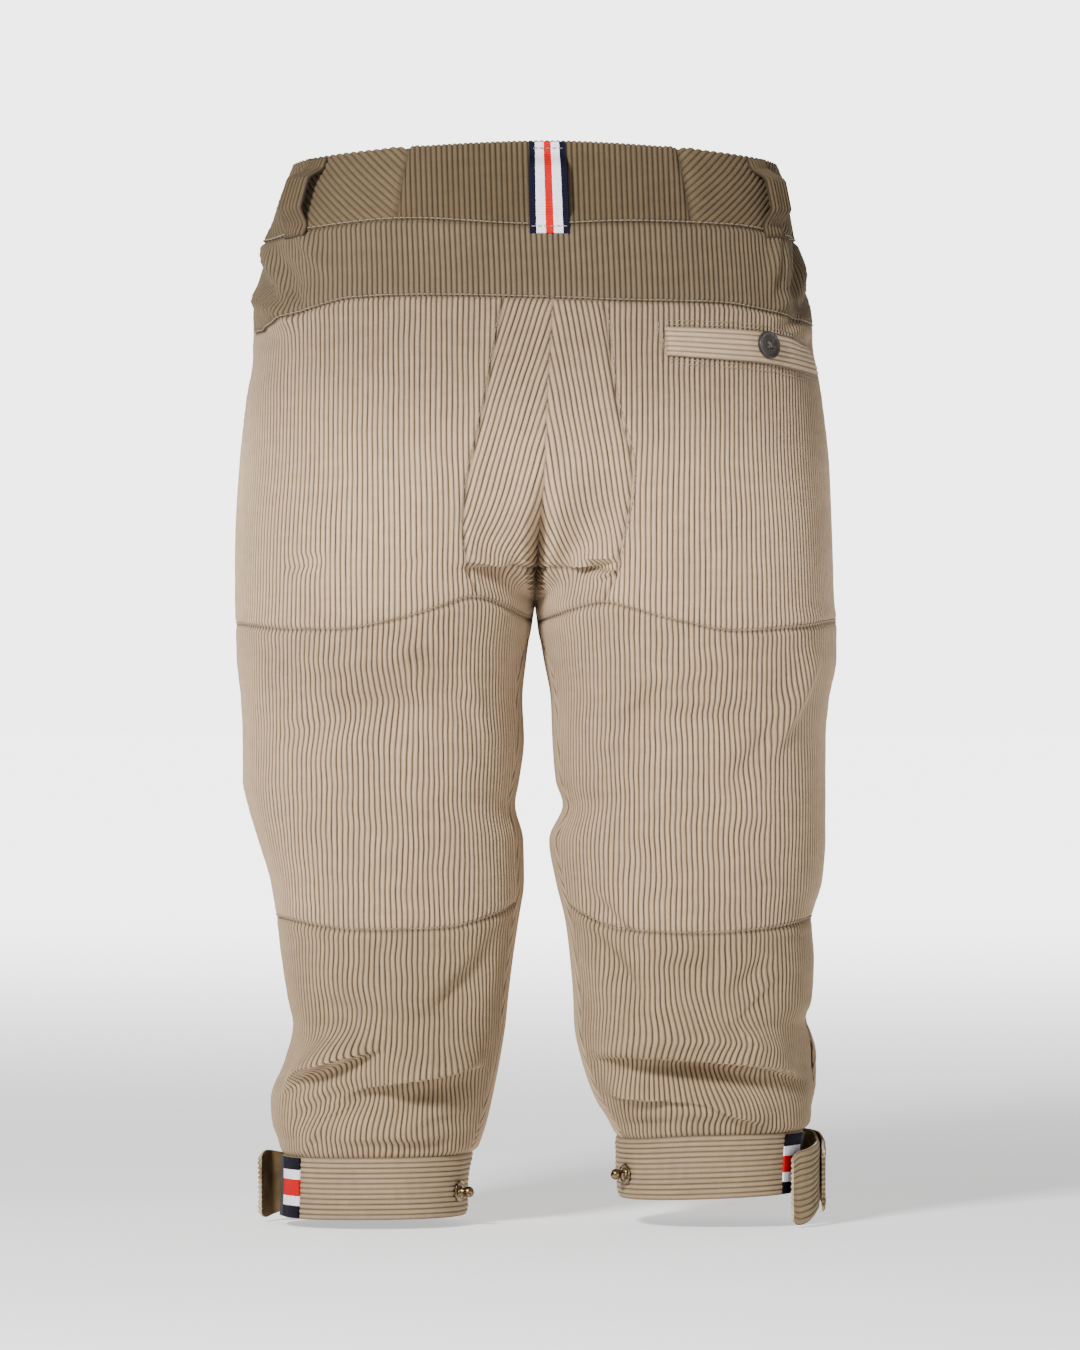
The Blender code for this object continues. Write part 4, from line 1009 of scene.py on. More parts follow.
def gunmetal(name):
    made = Nodes(name, 0.3, Metallic=1.0)
    place = made.place()
    rub = made.noise(place, 700.0, 3.0)
    colour = made.blend(made.span(rub, 0.35, 0.7), linear((70, 58, 44)), linear((150, 128, 92)))
    made.tree.links.new(made.span(rub, 0.3, 0.7, 0.24, 0.42), made.shader.inputs["Roughness"])
    return made.finish(colour, rub, 0.00005, 0.3)


def thread(name, light, dark):
    made = Nodes(name, 0.7, Sheen_Weight=0.2)
    across, along, _ = made.split(made.weave())
    twist = made.math("SINE", made.times(made.add(across, along), 9.0))
    colour = made.blend(made.span(twist, -0.6, 0.9), linear(dark), linear(light))
    return made.finish(colour, twist, 0.00008, 0.5)


def webbing(name):
    """Black tape of a hook-and-loop kind: a dense short nap."""
    made = Nodes(name, 0.9)
    nap = made.noise(made.place(), 1900.0, 2.0)
    colour = made.blend(made.span(nap, 0.3, 0.7), linear((14, 13, 13)), linear((44, 42, 42)))
    return made.finish(colour, nap, 0.0004, 0.8)


# The upper back and seat pieces take painted shade above 0.15 m down, towards the waist.
PALE = corduroy("corduroy_pale", (186, 161, 132), (77, 61, 42), 1.0, (-0.15, 0.61))
WELT = corduroy("corduroy_welt", (180, 157, 129), (88, 71, 51), 0.75)
THIGH = corduroy("corduroy_thigh", (173, 149, 121), (74, 59, 42))
LOWER = corduroy("corduroy_lower", (155, 133, 106), (67, 53, 37))
YOKE = corduroy("corduroy_yoke", (105, 91, 71), (48, 39, 27), 0.9)
BAND = corduroy("corduroy_band", (89, 75, 56), (41, 33, 23), 0.85)
BIAS = corduroy("corduroy_bias", (93, 79, 59), (53, 43, 31), 0.6)
CUFF = corduroy("corduroy_cuff", (148, 128, 102), (78, 64, 46), 0.8)
FLAP = corduroy("corduroy_flap", (134, 117, 90), (88, 74, 53), 0.7)
# The strap ends' cut edges: the cords' cut ends, painted paler as a highlight where the edge
# catches the light.
CUT_END = twill("corduroy_cut_end", (196, 176, 146), (120, 100, 74))
BACKING = twill("corduroy_backing", (118, 100, 78), (96, 80, 60))
# The strap ends' backs: the backing darkened with painted shade, as they face away from the light.
SHADED_BACKING = twill("corduroy_shaded_backing", (96, 79, 54), (72, 57, 37))
THREAD = thread("topstitch", (160, 144, 118), (102, 88, 68))
HORN = horn("horn_button")
THREAD_DARK = thread("button_thread", (120, 106, 92), (70, 60, 52))
METAL = gunmetal("gunmetal_stud")
TAPE = webbing("closure_tape")



def stripes(navy, red, white, *ends):
    """Five stripes, each with where it ends as a share of the way."""
    return list(zip((navy, white, red, white, navy), ends))


WHITE = (236, 228, 238)
WAIST_STRIPES = stripes((16, 15, 34), (188, 8, 16), WHITE, 0.16, 0.40, 0.60, 0.84, 1.0)
CUFF_STRIPES = stripes((10, 10, 24), (186, 2, 8), WHITE, 0.20, 0.36, 0.64, 0.80, 1.0)
LOOP_RIBBON = grosgrain("ribbon_waist", WAIST_STRIPES, 0, 260.0)
CUFF_RIBBON = grosgrain("ribbon_cuff", CUFF_STRIPES, 1, -130.0)


# ---- panels ----
GRAIN_AT = {LEFT: -0.104, RIGHT: 0.106}  # across, where a wale of the back runs straight down
SEAT_LEAN = {LEFT: 17, RIGHT: 10}  # degrees that the wales of the seat pieces lean
BIAS_LEAN = 56  # the same for the sides of the waistband
FRONT_GRAIN = 0.25  # share of the way round where a wale of the front runs straight down
NARROWEST_CUT = 0.01  # width of the narrowest cut that can be declared, with its edges turned under
LEAST_FILLED = 0.31  # share of its flat size that a cut fills at the least


SEAT_SHARES = {
    side: [(level, share_at(side, across, level)) for level, across in SEAT_PANEL[side]]
    for side in (LEFT, RIGHT)
}


def seat_share(side, height):
    """The share of the seam beside the seat panel, level with its own end below the seat."""
    return smooth(height, SEAT_SHARES[side])


def seat_seam(side, top_line, low_line, part):
    """The share and height of the seam beside the seat, this part of the way down."""
    share = 0.88  # a first guess, which each round brings closer
    for _ in range(4):
        top, low = (seam_height(line, side, share) for line in (top_line, low_line))
        level = top * (1 - part) + low * part
        share = float(seat_share(side, level))
    return share, float(level)


def levels(length, edges=(True, True), step=ROW_STEP):
    """Shares of the way down a stretch of cloth, closer together beside its seams."""
    beside = np.array(EDGE_ROWS)
    top = beside if edges[0] else beside[:1]
    low = beside if edges[1] else beside[:1]
    count = max(int(round((length - top[-1] - low[-1]) / step)), 1)
    middle = np.linspace(top[-1], length - low[-1], count + 1)
    return np.concatenate([top[:-1], middle, length - low[::-1][1:]]) / length


def station_shares(face, seam):
    """Stations round one row: the front's, or the back's, which keep one on the seat's seam."""
    if face == "front":
        return np.linspace(0, SIDE, STATIONS["front"])
    outer = np.linspace(SIDE, seam, STATIONS["back"])
    return np.concatenate([outer, np.linspace(seam, 1, STATIONS["seat"])[1:]])


def stretch_rows(side, face, stretch, steps):
    """Shares and heights of rows between two seam lines, given as shares of the way down.
    Above the crotch the rows crowd together where the rise seam turns under."""
    top_line, low_line = side_lines(side)[stretch : stretch + 2]
    all_shares, all_heights = [], []
    for part in steps:
        share = station_shares(face, seat_seam(side, top_line, low_line, part)[0])
        top = seam_height(top_line, side, share)
        low = seam_height(low_line, side, share)
        down = part
        if stretch == ABOVE_CROTCH:
            near = np.exp(-((np.minimum(share, 1 - share) / 0.12) ** 2))
            down = 1 - (1 - part) ** (1 + near)
        all_shares.append(share)
        all_heights.append(top + (low - top) * down)
    return np.array(all_shares), np.array(all_heights)


def smooth_normals(side, points, normals, shares, heights):
    """By the crotch the surface's own normals are rough, so the rows' take over there."""
    around = np.gradient(points, axis=1)
    down = np.gradient(points, axis=0)
    rough = unit(side * np.cross(around, down))
    near = np.exp(-((np.minimum(shares, 1 - shares) / 0.06) ** 2))
    near = near * np.exp(-(((heights - CROTCH) / 0.045) ** 2))
    return unit(normals + (rough - normals) * near[..., None])


def running(points, axis):
    """The distance along each row (axis 1) or column (axis 0) of a grid, from its first point."""
    run = np.cumsum(np.linalg.norm(np.diff(points, axis=axis), axis=-1), axis=axis)
    return np.concatenate([np.zeros_like(np.take(run, [0], axis)), run], axis=axis)


def arc_from(points, shares, grain):
    """How far round each station lies, measured level, from the grain: a share, or a place across
    where no shares are given."""
    arc = running(points[..., :2], 1)
    if shares is not None:
        return arc - np.array([[np.interp(grain, s, a)] for s, a in zip(shares, arc)])
    middle = arc.shape[1] // 5, arc.shape[1] * 7 // 10
    start = []
    for x, a in zip(points[:, slice(*middle), 0], arc[:, slice(*middle)]):
        order = np.argsort(x)
        start.append([np.interp(grain, x[order], a[order])])
    return arc - np.array(start)


def rise_closing(shares, heights):
    """How much the two halves press together here, from 0 to 1."""
    reach, low, above = RISE_CLOSING
    near = np.exp(-((np.minimum(shares, 1 - shares) / reach) ** 2))
    return near * ease((heights - low) / (above - low))


def make_rows(side, face, stretch, steps, top_line, low_line, lean=0.0, stray=0.0):
    """Rows of one stretch, ready to weave."""
    shares, heights = stretch_rows(side, face, stretch, steps)
    surface = front_cloth if face == "front" else back_cloth
    points = surface(side, shares, heights)
    normals = facing(side, shares, heights, surface)
    normals = smooth_normals(side, points, normals, shares, heights)
    closing = rise_closing(shares, heights)
    normals[..., 0] *= 1 - closing
    normals = unit(normals)
    points[..., 0] -= side * RISE_CLOSES * closing
    plain = form(side, shares, heights)
    if face == "front":
        arc = arc_from(plain, shares, FRONT_GRAIN)
    else:
        arc = arc_from(plain, None, GRAIN_AT[side])
    turn = np.radians(lean)
    along = arc * np.cos(turn) - heights * np.sin(turn)
    along = along + wander(side, arc, heights, stray)
    if face == "back":
        push = fold_push(side, shares, heights) + STEP_SHARE * step_push(side, shares, heights)
        along = along + FOLD_DRAG * push
    top, low = (seam_height(line, side, shares) for line in (top_line, low_line))
    depth = np.minimum(top - heights, heights - low)
    return [Row(*row) for row in zip(points, normals, along, heights, np.maximum(depth, 0))]


def cut(grids):
    """Works out the flat size that a cloth piece was cut to, measured on its plain surface; nothing
    keeps it.
    """
    width, length, area = 0.0, 0.0, 0.0
    for grid in grids:
        step = np.linalg.norm(np.diff(grid, axis=1), axis=-1)
        drop = np.linalg.norm(np.diff(grid, axis=0), axis=-1)
        width = max(width, float(step.sum(axis=1).max()))
        length += float(np.percentile(drop.sum(axis=0), 98))
        a, b = grid[1:, 1:] - grid[:-1, :-1], grid[1:, :-1] - grid[:-1, 1:]
        area += float(np.linalg.norm(np.cross(a, b), axis=-1).sum() / 2)
    width = max(width, NARROWEST_CUT)
    area = min(max(area, LEAST_FILLED * width * length), width * length)


def woven(name, side, blocks, outside, nodes):
    """A panel woven from blocks of rows, whose cut is worked out."""
    body = weave_blocks(blocks)
    thing = piece(sided(name, side), body, [outside, BACKING], [sided(nodes, side)])
    grids = [[row.points[first : last + 1] for row in rows] for rows, first, last in blocks]
    cut([np.array(grid) for grid in grids])


def make_panels():
    seam = STATIONS["back"] - 1
    last = seam + STATIONS["seat"] - 1
    for side in (LEFT, RIGHT):
        lines = side_lines(side)
        at = [float(seam_height(line, side, 0.85)) for line in lines]

        def rows(face, span, edges=(True, True), step=ROW_STEP, **ways):
            """Rows over several stretches in a row, without doubling the row where they meet."""
            made = []
            for i in span:
                ends = i == span[0] and edges[0], i == span[-1] and edges[1]
                steps = levels(at[i] - at[i + 1], ends, step)
                steps = steps if i == span[0] else steps[1:]
                made += make_rows(side, face, i, steps, lines[span[0]], lines[span[-1] + 1], **ways)
            return made

        front = rows("front", range(0, 6), stray=0.0007)
        upper = rows("back", range(1, 4), stray=0.0004)
        seat = rows("back", range(1, 2), lean=SEAT_LEAN[side], stray=0.0004)
        under = rows("back", range(2, 4), edges=(True, False), step=FINE_STEP, stray=0.0010)
        thigh = rows("back", range(4, 5), stray=0.0010)
        low = rows("back", range(5, 6), step=FINE_STEP, stray=0.0014)
        whole_front = [(front, 0, STATIONS["front"] - 1)]
        woven("panel_front", side, whole_front, THIGH, "front")
        woven("panel_upper", side, [(upper, 0, seam)], PALE, "back_upper")
        woven("panel_seat", side, [(seat, seam, last)], PALE, "seat")
        blocks = [(under, seam, last), (thigh, 0, last)]
        woven("panel_thigh", side, blocks, THIGH, "back_thigh")
        woven("panel_lower", side, [(low, 0, last)], LOWER, "back_lower")


make_panels()


# ---- waistband and yoke ----
def across_back(left, right):
    """Stations from the left across the centre back to the right, from each side's shares."""
    return [(LEFT, share) for share in left] + [(RIGHT, share) for share in right[::-1][1:]]


def heights_on(line, path):
    return np.array([float(seam_height(line, side, share)) for side, share in path])


def surface_grid(path, heights, distance, base=cloth):
    """Points and outward normals over (side, share) stations, on rows of heights."""
    sides, shares = np.array(path).T
    heights = np.asarray(heights, float)
    distance = np.zeros_like(heights) + distance
    points = np.zeros((*heights.shape, 3))
    normals = np.zeros_like(points)
    for side in (LEFT, RIGHT):
        own = sides == side
        if own.any():
            share = np.zeros_like(heights[:, own]) + shares[own]
            out = facing(side, share, heights[:, own], cloth)
            points[:, own] = base(side, share, heights[:, own]) + out * distance[:, own, None]
            normals[:, own] = out
    return points, normals


def band_rows(path, top_line, low_line, lean=0.0, centre=None, folded=False):
    """Rows of a band between two lines, with its wales upright or leaning, counted from its middle
    station or from the one given. A folded top has no seam."""
    top, low = heights_on(top_line, path), heights_on(low_line, path)
    steps = levels(float(np.mean(top - low)))[:, None]
    heights = top + (low - top) * steps
    points, normals = surface_grid(path, heights, 0.0)
    arc = running(surface_grid(path, heights, 0.0, form)[0][..., :2], 1)
    middle = len(path) // 2 if centre is None else centre
    arc = arc - arc[:, middle : middle + 1] + WALE / 2
    turn = np.radians(lean)
    along = arc * np.cos(turn) - heights * np.sin(turn)
    depth = heights - low if folded else np.minimum(top - heights, heights - low)
    if folded:
        for row, tilt in enumerate(FOLDED_TILT):
            normals[row] = unit(normals[row] + np.array([0.0, 0.0, tilt]))
    return [Row(*row) for row in zip(points, normals, along, heights, np.maximum(depth, 0))]


def woven_band(name, path, lines, outside, node, lean=0.0, centre=None):
    rows = band_rows(path, *lines, lean, centre, folded=lines[0] is WAIST_TOP)
    body = weave_blocks([(rows, 0, len(path) - 1)])
    thing = piece(name, body, [outside, BACKING], [node])
    cut([np.array([row.points for row in rows])])


def make_waistband():
    lines = WAIST_TOP, WAIST_SEAM
    ends = {
        LEFT: share_at(LEFT, BAND_BACK_SECTION[0], 0.0),
        RIGHT: share_at(RIGHT, BAND_BACK_SECTION[1], 0.0),
    }
    path = across_back(*(np.linspace(ends[side], 1, 60) for side in (LEFT, RIGHT)))
    woven_band("band_back", path, lines, BAND, "waistband_back", centre=59)
    for side in (LEFT, RIGHT):
        for name, start, stop, lean, outside in (
            ("side", SIDE, ends[side], -BIAS_LEAN, BIAS),
            ("front", 0.0, SIDE, 0.0, BAND),
        ):
            count = 90 if name == "side" else 150
            path = [(side, share) for share in np.linspace(start, stop, count)]
            node = sided(f"waistband_{name}", side)
            woven_band(sided(f"band_{name}", side), path, lines, outside, node, lean)


def make_yoke():
    path = across_back(*(np.linspace(SIDE, 1, 130) for _ in (LEFT, RIGHT)))
    lines = WAIST_SEAM, YOKE_SEAM
    woven_band("yoke", path, lines, YOKE, "yoke_back", centre=129)


# ---- pieces with level wales ----
def refined(count, ends=(0.0, 0.012, 0.03)):
    """Even shares from 0 to 1 with more beside both ends."""
    ends = np.array(ends)
    return np.unique(np.concatenate([ends, np.linspace(ends[-1], 1 - ends[-1], count), 1 - ends]))


def corded_body(outer, inner, normals, wales, along, edges, kinds=(CORDUROY, INSIDE), relief=1.0):
    """A shell between two grids, with a cord on its outer face at each whole number of wales."""
    wales, along = wales + np.zeros_like(edges), along + np.zeros_like(edges)
    lift = cord(wales) * pile_fade(edges) * relief + seam_shape(edges) * BAND_DIP
    weave = np.stack([wales, along, edges], -1)
    return grid_body(outer + normals * lift[..., None], inner, weave, kinds)


def rim_distance(points, cut_end=False):
    """The distance of each point of a grid from its rim, leaving out a cut end at the far side, and
    how far along its row it lies."""
    down, along = running(points, 0), running(points, 1)
    far = np.minimum(down[-1:] - down, 1.0 if cut_end else along[:, -1:] - along)
    return np.minimum(np.minimum(down, along), far), along


def level_piece(name, path, top, low, count, outside, node, distance=0.0):
    """A band or a strap that lies on the cloth with a whole number of level wales."""
    steps = refined(count * STRANDS, (0.0, 0.006, 0.014))[:, None]
    heights = top + (low - top) * steps
    if distance:
        inner, normals = surface_grid(path, heights, distance)
        outer = inner + normals * WALL
    else:
        outer, normals = surface_grid(path, heights, 0.0)
        inner = outer - normals * WALL
    edges, along = rim_distance(outer)
    body = corded_body(outer, inner, normals, steps * count, along, edges)
    thing = piece(name, body, [outside, BACKING], [node])
    cut([outer])


def cuff_path(side):
    """Stations round the cuff from its side to the slot, which lies in front of the side."""
    stop = SIDE - CUFF_SLOT[side]
    shares = SIDE + (stop + 1 - SIDE) * refined(120, (0.0, 0.002, 0.005))
    return [(side, share if share <= 1 else share - 1) for share in shares]


def make_cuffs():
    for side in (LEFT, RIGHT):
        path = cuff_path(side)
        top, low = heights_on(CUFF_TOP[side], path), heights_on(CUFF_BOTTOM[side], path)
        name, node = sided("cuff_band", side), sided("cuff", side)
        level_piece(name, path, top, low, CUFF_WALES, CUFF, node)


def welt_outline(steps):
    """Shares and heights of the welt's top and low edges at these parts of the way along it."""
    start, stop = (share_at(RIGHT, across, WELT_LEVEL) for across in WELT_ENDS)
    shares = start + (stop - start) * steps
    across = form(RIGHT, shares, WELT_LEVEL)[..., 0]
    top = smooth(across, WELT_TOP)
    return shares, top, top - smooth(across, WELT_HEIGHT)


def make_pocket():
    shares, top, low = welt_outline(refined(60))
    path = [(RIGHT, share) for share in shares]
    level_piece("welt", path, top, low, WELT_WALES, WELT, "pocket_welt", SEWN_ON)


def make_fly():
    top, low = FLY_HEIGHTS
    share = share_at(RIGHT, FLY_HALF_WIDTH, top, "front")
    shares = np.linspace(0, share, 18)
    path = [(LEFT, at) for at in shares[::-1]] + [(RIGHT, at) for at in shares[1:]]
    steps = levels(top - low)[:, None]
    heights = top + (low - top) * steps + np.zeros(len(path))
    points, normals = surface_grid(path, heights, SEWN_ON + WALL)
    arc = running(points[..., :2], 1)
    centre = len(path) // 2
    arc = arc - arc[:, centre : centre + 1] + WALE / 2
    depth = np.minimum(top - heights, heights - low)
    rows = [Row(*row) for row in zip(points, normals, arc, heights, np.maximum(depth, 0))]
    body = weave_blocks([(rows, 0, len(path) - 1)])
    thing = piece("fly_front", body, [THIGH, BACKING], ["fly"])
    cut([points])


# ---- belt loops ----
def loop_grid(centre, width, standoff, thickness, rows=70, columns=25):
    """Near and far faces of a belt loop, with its shares down and across."""
    side, share = centre
    half = width / 2 / girth_at(side, min(share, 0.98), 0.0, cloth)
    across = np.linspace(0, 1, columns)
    path = []
    for at in share - half + 2 * half * across:
        path.append((side, at) if at <= 1 else (-side, 2 - at))
    top = float(seam_height(WAIST_TOP, side, share)) - LOOP_TOP_DROP
    drop = top - LOOP_LOW
    down = np.linspace(0, 1, rows)
    bend = drop * LOOP_BEND
    rise = ease((down * drop - LOOP_ENDS) / bend) * ease((drop - LOOP_ENDS - down * drop) / bend)
    distance = (GAP + standoff * rise)[:, None]
    heights = (top - drop * down)[:, None] + np.zeros(columns)
    near, far = (surface_grid(path, heights, distance + more)[0] for more in (0.0, thickness))
    return near, far, down, across


def ribbon_body(outer, inner, across, down):
    """A plain shell between two grids, whose weave is each point's share across and down it."""
    weave = np.ones((*outer.shape[:2], 3))
    weave[..., 0], weave[..., 1] = across, down
    return grid_body(outer, inner, weave, (0, 0))


def make_loops():
    near, far, down, across = loop_grid((RIGHT, 1.0), RIBBON_WIDTH, RIBBON_STANDOFF, THIN)
    body = ribbon_body(far, near, across, down[:, None])
    thing = piece("loop_back", body, [LOOP_RIBBON], ["belt_loop_back"])
    cut([far])
    out = unit(far - near)
    ends = [int(np.argmin(abs(down - share))) for share in LOOP_STITCHED]
    stitches("stitching_loop", [(far[k] + out[k] * 0.0001, out[k]) for k in ends])
    for side in (LEFT, RIGHT):
        centre = (side, share_at(side, SIDE_LOOP_AT[side], -0.01))
        size = SIDE_LOOP_WIDTH, SIDE_LOOP_STANDOFF, WALL
        columns = SIDE_LOOP_WALES * STRANDS + 1
        near, far, _, across = loop_grid(centre, *size, rows=60, columns=columns)
        along = running(far[:, :1], 0)
        edges = rim_distance(far)[0]
        out = unit(far - near)
        body = corded_body(far, near, out, across * SIDE_LOOP_WALES, along, edges)
        nodes = [sided("belt_loop", side)]
        thing = piece(sided("loop", side), body, [BAND, BACKING], nodes)
        cut([far])


# ---- cuff trims ----
def make_cuff_trims():
    for side in (LEFT, RIGHT):
        path = cuff_path(side)
        level = np.mean(heights_on(CUFF_TOP[side], path) + heights_on(CUFF_BOTTOM[side], path)) / 2
        girth = girth_at(side, SIDE + 0.03, float(level), cloth)
        start = SIDE + TRIM_START
        for name, width, outside, slot in (
            ("tape", TAPE_WIDTH / girth, TAPE, "closure_tape"),
            ("ribbon", CUFF_RIBBON_WIDTH / girth, CUFF_RIBBON, "ribbon"),
        ):
            across = np.linspace(0, 1, 15)
            path = [(side, share) for share in start + width * across]
            top = heights_on(CUFF_TOP[side], path) - TRIM_INSET
            low = heights_on(CUFF_BOTTOM[side], path) + TRIM_INSET
            down = np.linspace(0, 1, 45)[:, None]
            near, normals = surface_grid(path, top + (low - top) * down, GAP)
            body = ribbon_body(near + normals * THIN, near, across, down)
            node = sided(f"cuff_{name}", side)
            thing = piece(sided(f"trim_{name}", side), body, [outside], [node])
            cut([near])
            start += width + TRIM_GAP


def make_tab(name, side, start, stop, distance, top, low, free):
    """A strap end: sewn to the cuff at the front of the slot, then free, with round corners."""
    stations = 3
    count = stations + len(free)
    levels_down = refined(CUFF_WALES * STRANDS, (0.0, 0.006, 0.014))
    at = np.linspace(0, count - 1, 10 * (count - 1) + 1)
    out_along = np.clip((at - stations + 1) / len(free), 0, 1)
    sewn = np.linspace(start, stop, stations)
    near = np.zeros((len(levels_down), len(at), 3))
    out = np.zeros_like(near)
    sewn_top = seam_height(CUFF_TOP[side], side, sewn) - TAB_INSET
    sewn_low = seam_height(CUFF_BOTTOM[side], side, sewn) + TAB_INSET
    for i, level in enumerate(levels_down):
        heights = sewn_top + (sewn_low - sewn_top) * level
        fixed = off_cloth(side, sewn, heights, np.full(stations, distance))
        route = np.concatenate([fixed[:, :2], free])
        plan = np.stack([smooth(at, list(enumerate(route[:, axis]))) for axis in (0, 1)], -1)
        ahead = unit(np.gradient(plan, axis=0))
        middle = np.mean(heights) + (top + (low - top) * level - np.mean(heights)) * ease(out_along)
        corner = np.clip((at - at[-1] + 0.5) / 0.5, 0, 1)
        sewn_middle = (sewn_top[-1] + sewn_low[-1]) / 2
        centre = sewn_middle + ((top + low) / 2 - sewn_middle) * ease(out_along)
        height = centre + (middle - centre) * (1 - TAB_CORNER_ROUNDING * corner**2)
        jag = TAB_JAG * (abs(np.sin(np.pi * level * CUFF_WALES)) - 1) * corner**3
        near[i, :, :2] = plan + ahead * jag[:, None]
        near[i, :, 2] = height
        out[i, :, :2] = side * np.stack([-ahead[:, 1], ahead[:, 0]], -1)
    far = near + out * WALL
    edges, along = rim_distance(far, cut_end=True)
    wales = levels_down[:, None] * CUFF_WALES
    body = corded_body(far, near, out, wales, along, edges, (0, 1, 2), relief=1.1)
    # the backs take painted shade, and the cut ends a painted highlight
    materials = [FLAP, SHADED_BACKING, CUT_END]
    thing = piece(name.replace("cuff_", ""), body, materials, [name])
    cut([near])


# ---- buttons and studs ----
TUBE_SIDES = 6


def frame_of(axis):
    """Two directions square to an axis, the first one level."""
    level = unit(np.cross([0.0, 0.0, 1.0], axis))
    return level, np.cross(axis, level)


def turned_body(profile, centre, axis, segments, dent=None):
    """A turned shape from (distance out, radius) rows, closed at both ends. dent gives the depth of
    the hollows in its face."""
    body = Body()
    profile = np.array(profile)
    angle = np.linspace(0, 2 * np.pi, segments, endpoint=False)
    a, b = frame_of(axis)
    ring = np.cos(angle)[:, None] * a + np.sin(angle)[:, None] * b
    rings, middles = [], []
    for out, radius in profile:
        push = np.zeros(segments)
        if dent is not None:
            push = dent(out, radius * np.cos(angle), radius * np.sin(angle))
        points = centre + ring * radius + axis * (out + push)[:, None]
        weave = np.stack([angle / (2 * np.pi), 0 * angle + out, 0 * angle + radius], -1)
        rings.append(body.put(points, weave))
        middles.append(points.mean(axis=0))
    for above, below in zip(rings, rings[1:]):
        c, d = np.roll(above, -1), np.roll(below, -1)
        body.face(np.concatenate([np.stack([above, below, d], -1), np.stack([above, d, c], -1)]), 0)
    for k, turned in ((0, False), (-1, True)):
        middle = body.put(middles[k][None], np.zeros((1, 3)))[0]
        fan = np.stack([np.full(segments, middle), rings[k], np.roll(rings[k], -1)], -1)
        body.face(fan[:, ::-1] if turned else fan, 0)
    return body


def tube_into(body, route, radius, spin=0.0):
    """Adds a tube with closed ends along a route of points; radius is one number or one per point,
    and spin shifts its weave so that no two tubes look alike."""
    route = np.asarray(route, float)
    radius = np.zeros(len(route)) + radius
    ahead = unit(np.gradient(route, axis=0))
    guide = np.array([0.31, 0.52, 0.79])
    a = unit(np.cross(ahead, guide))
    b = np.cross(ahead, a)
    angle = np.linspace(0, 2 * np.pi, TUBE_SIDES, endpoint=False)
    rings = []
    for k in range(len(route)):
        ring = np.cos(angle)[:, None] * a[k] + np.sin(angle)[:, None] * b[k]
        weave = np.stack([angle, 0 * angle + 4.0 * k + spin, 0 * angle], -1)
        rings.append(body.put(route[k] + ring * radius[k], weave))
    for above, below in zip(rings, rings[1:]):
        c, d = np.roll(above, -1), np.roll(below, -1)
        body.face(np.concatenate([np.stack([above, d, below], -1), np.stack([above, c, d], -1)]), 0)
    for end, turned in ((rings[0], False), (rings[-1], True)):
        fan = np.array([[end[0], end[k], end[k + 1]] for k in range(1, TUBE_SIDES - 1)])
        body.face(fan[:, ::-1] if turned else fan, 0)


def button_dent(out, x, y):
    """How deep the four sewing holes go at these places on the button's face."""
    depth = np.zeros_like(x)
    if out < BUTTON_THICKNESS * 0.6:
        return depth
    for sign_x in (-1, 1):
        for sign_y in (-1, 1):
            away = np.hypot(x - sign_x * BUTTON_HOLE_AT, y - sign_y * BUTTON_HOLE_AT)
            inside = (BUTTON_HOLE_RADIUS * 1.25 - away) / (BUTTON_HOLE_RADIUS * 0.5)
            depth = depth - BUTTON_HOLE_DEPTH * ease(inside)
    return depth


def make_button(name, place, face, distance, node):
    """A four-hole button with a dished face, sewn on with a cross of thread."""
    across, height = place
    share = share_at(RIGHT, across, height, face)
    axis = facing(RIGHT, share, height, form)
    centre = cloth(RIGHT, share, height) + axis * (distance + BUTTON_SHANK)
    edge = BUTTON_ROUNDING
    turn = np.linspace(0, np.pi / 2, 5)
    lower = [(edge * (1 - np.sin(t)), BUTTON_RADIUS - edge * (1 - np.cos(t))) for t in turn[::-1]]
    upper = [(BUTTON_THICKNESS - out, radius) for out, radius in lower[::-1]]
    dish = [
        (BUTTON_THICKNESS - BUTTON_DISH * ease((0.92 - part) / 0.18), BUTTON_RADIUS * part)
        for part in np.linspace(0.90, 0.03, 26)
    ]
    profile = [(0.0, BUTTON_RADIUS * 0.5), *lower, *upper, *dish]
    body = turned_body(profile, centre, axis, 56, dent=button_dent)
    piece(name, body, [HORN], [node], smooth_angle=40)
    a, b = frame_of(axis)
    body = Body()
    for first, second in (((-1, -1), (1, 1)), ((-1, 1), (1, -1))):
        for slip in (-THREAD_APART, THREAD_APART):
            side_step = slip * (1 if first[1] < 0 else -1)
            route = []
            for t in np.linspace(0, 1, 9):
                x, y = ((first[k] + (second[k] - first[k]) * t) * BUTTON_HOLE_AT for k in (0, 1))
                arch = 0.0004 * np.sin(np.pi * t) - 0.0009 * (abs(2 * t - 1) ** 6)
                lift = BUTTON_THICKNESS - BUTTON_DISH + arch
                route.append(centre + a * (x + side_step) + b * (y - slip) + axis * lift)
            tube_into(body, route, THREAD_RADIUS)
    piece(f"{name}_thread", body, [THREAD_DARK], (), smooth_angle=0)


def make_studs():
    """A ball on a collar, riveted through the cuff on a round plate with a rolled rim."""
    for side in (LEFT, RIGHT):
        across, height = STUD_AT[side]
        share = share_at(side, across, height)
        axis = facing(side, share, height, form)
        centre = cloth(side, share, height) + axis * SEWN_ON
        turn = np.linspace(0.22 * np.pi, 0.97 * np.pi, 14)
        ball = [(STUD_BALL_AT - STUD_BALL * np.cos(t), STUD_BALL * np.sin(t)) for t in turn]
        body = turned_body([*STUD_PLATE, *ball], centre, axis, 36)
        piece(sided("stud", side), body, [METAL], [sided("cuff_stud", side)], 35)


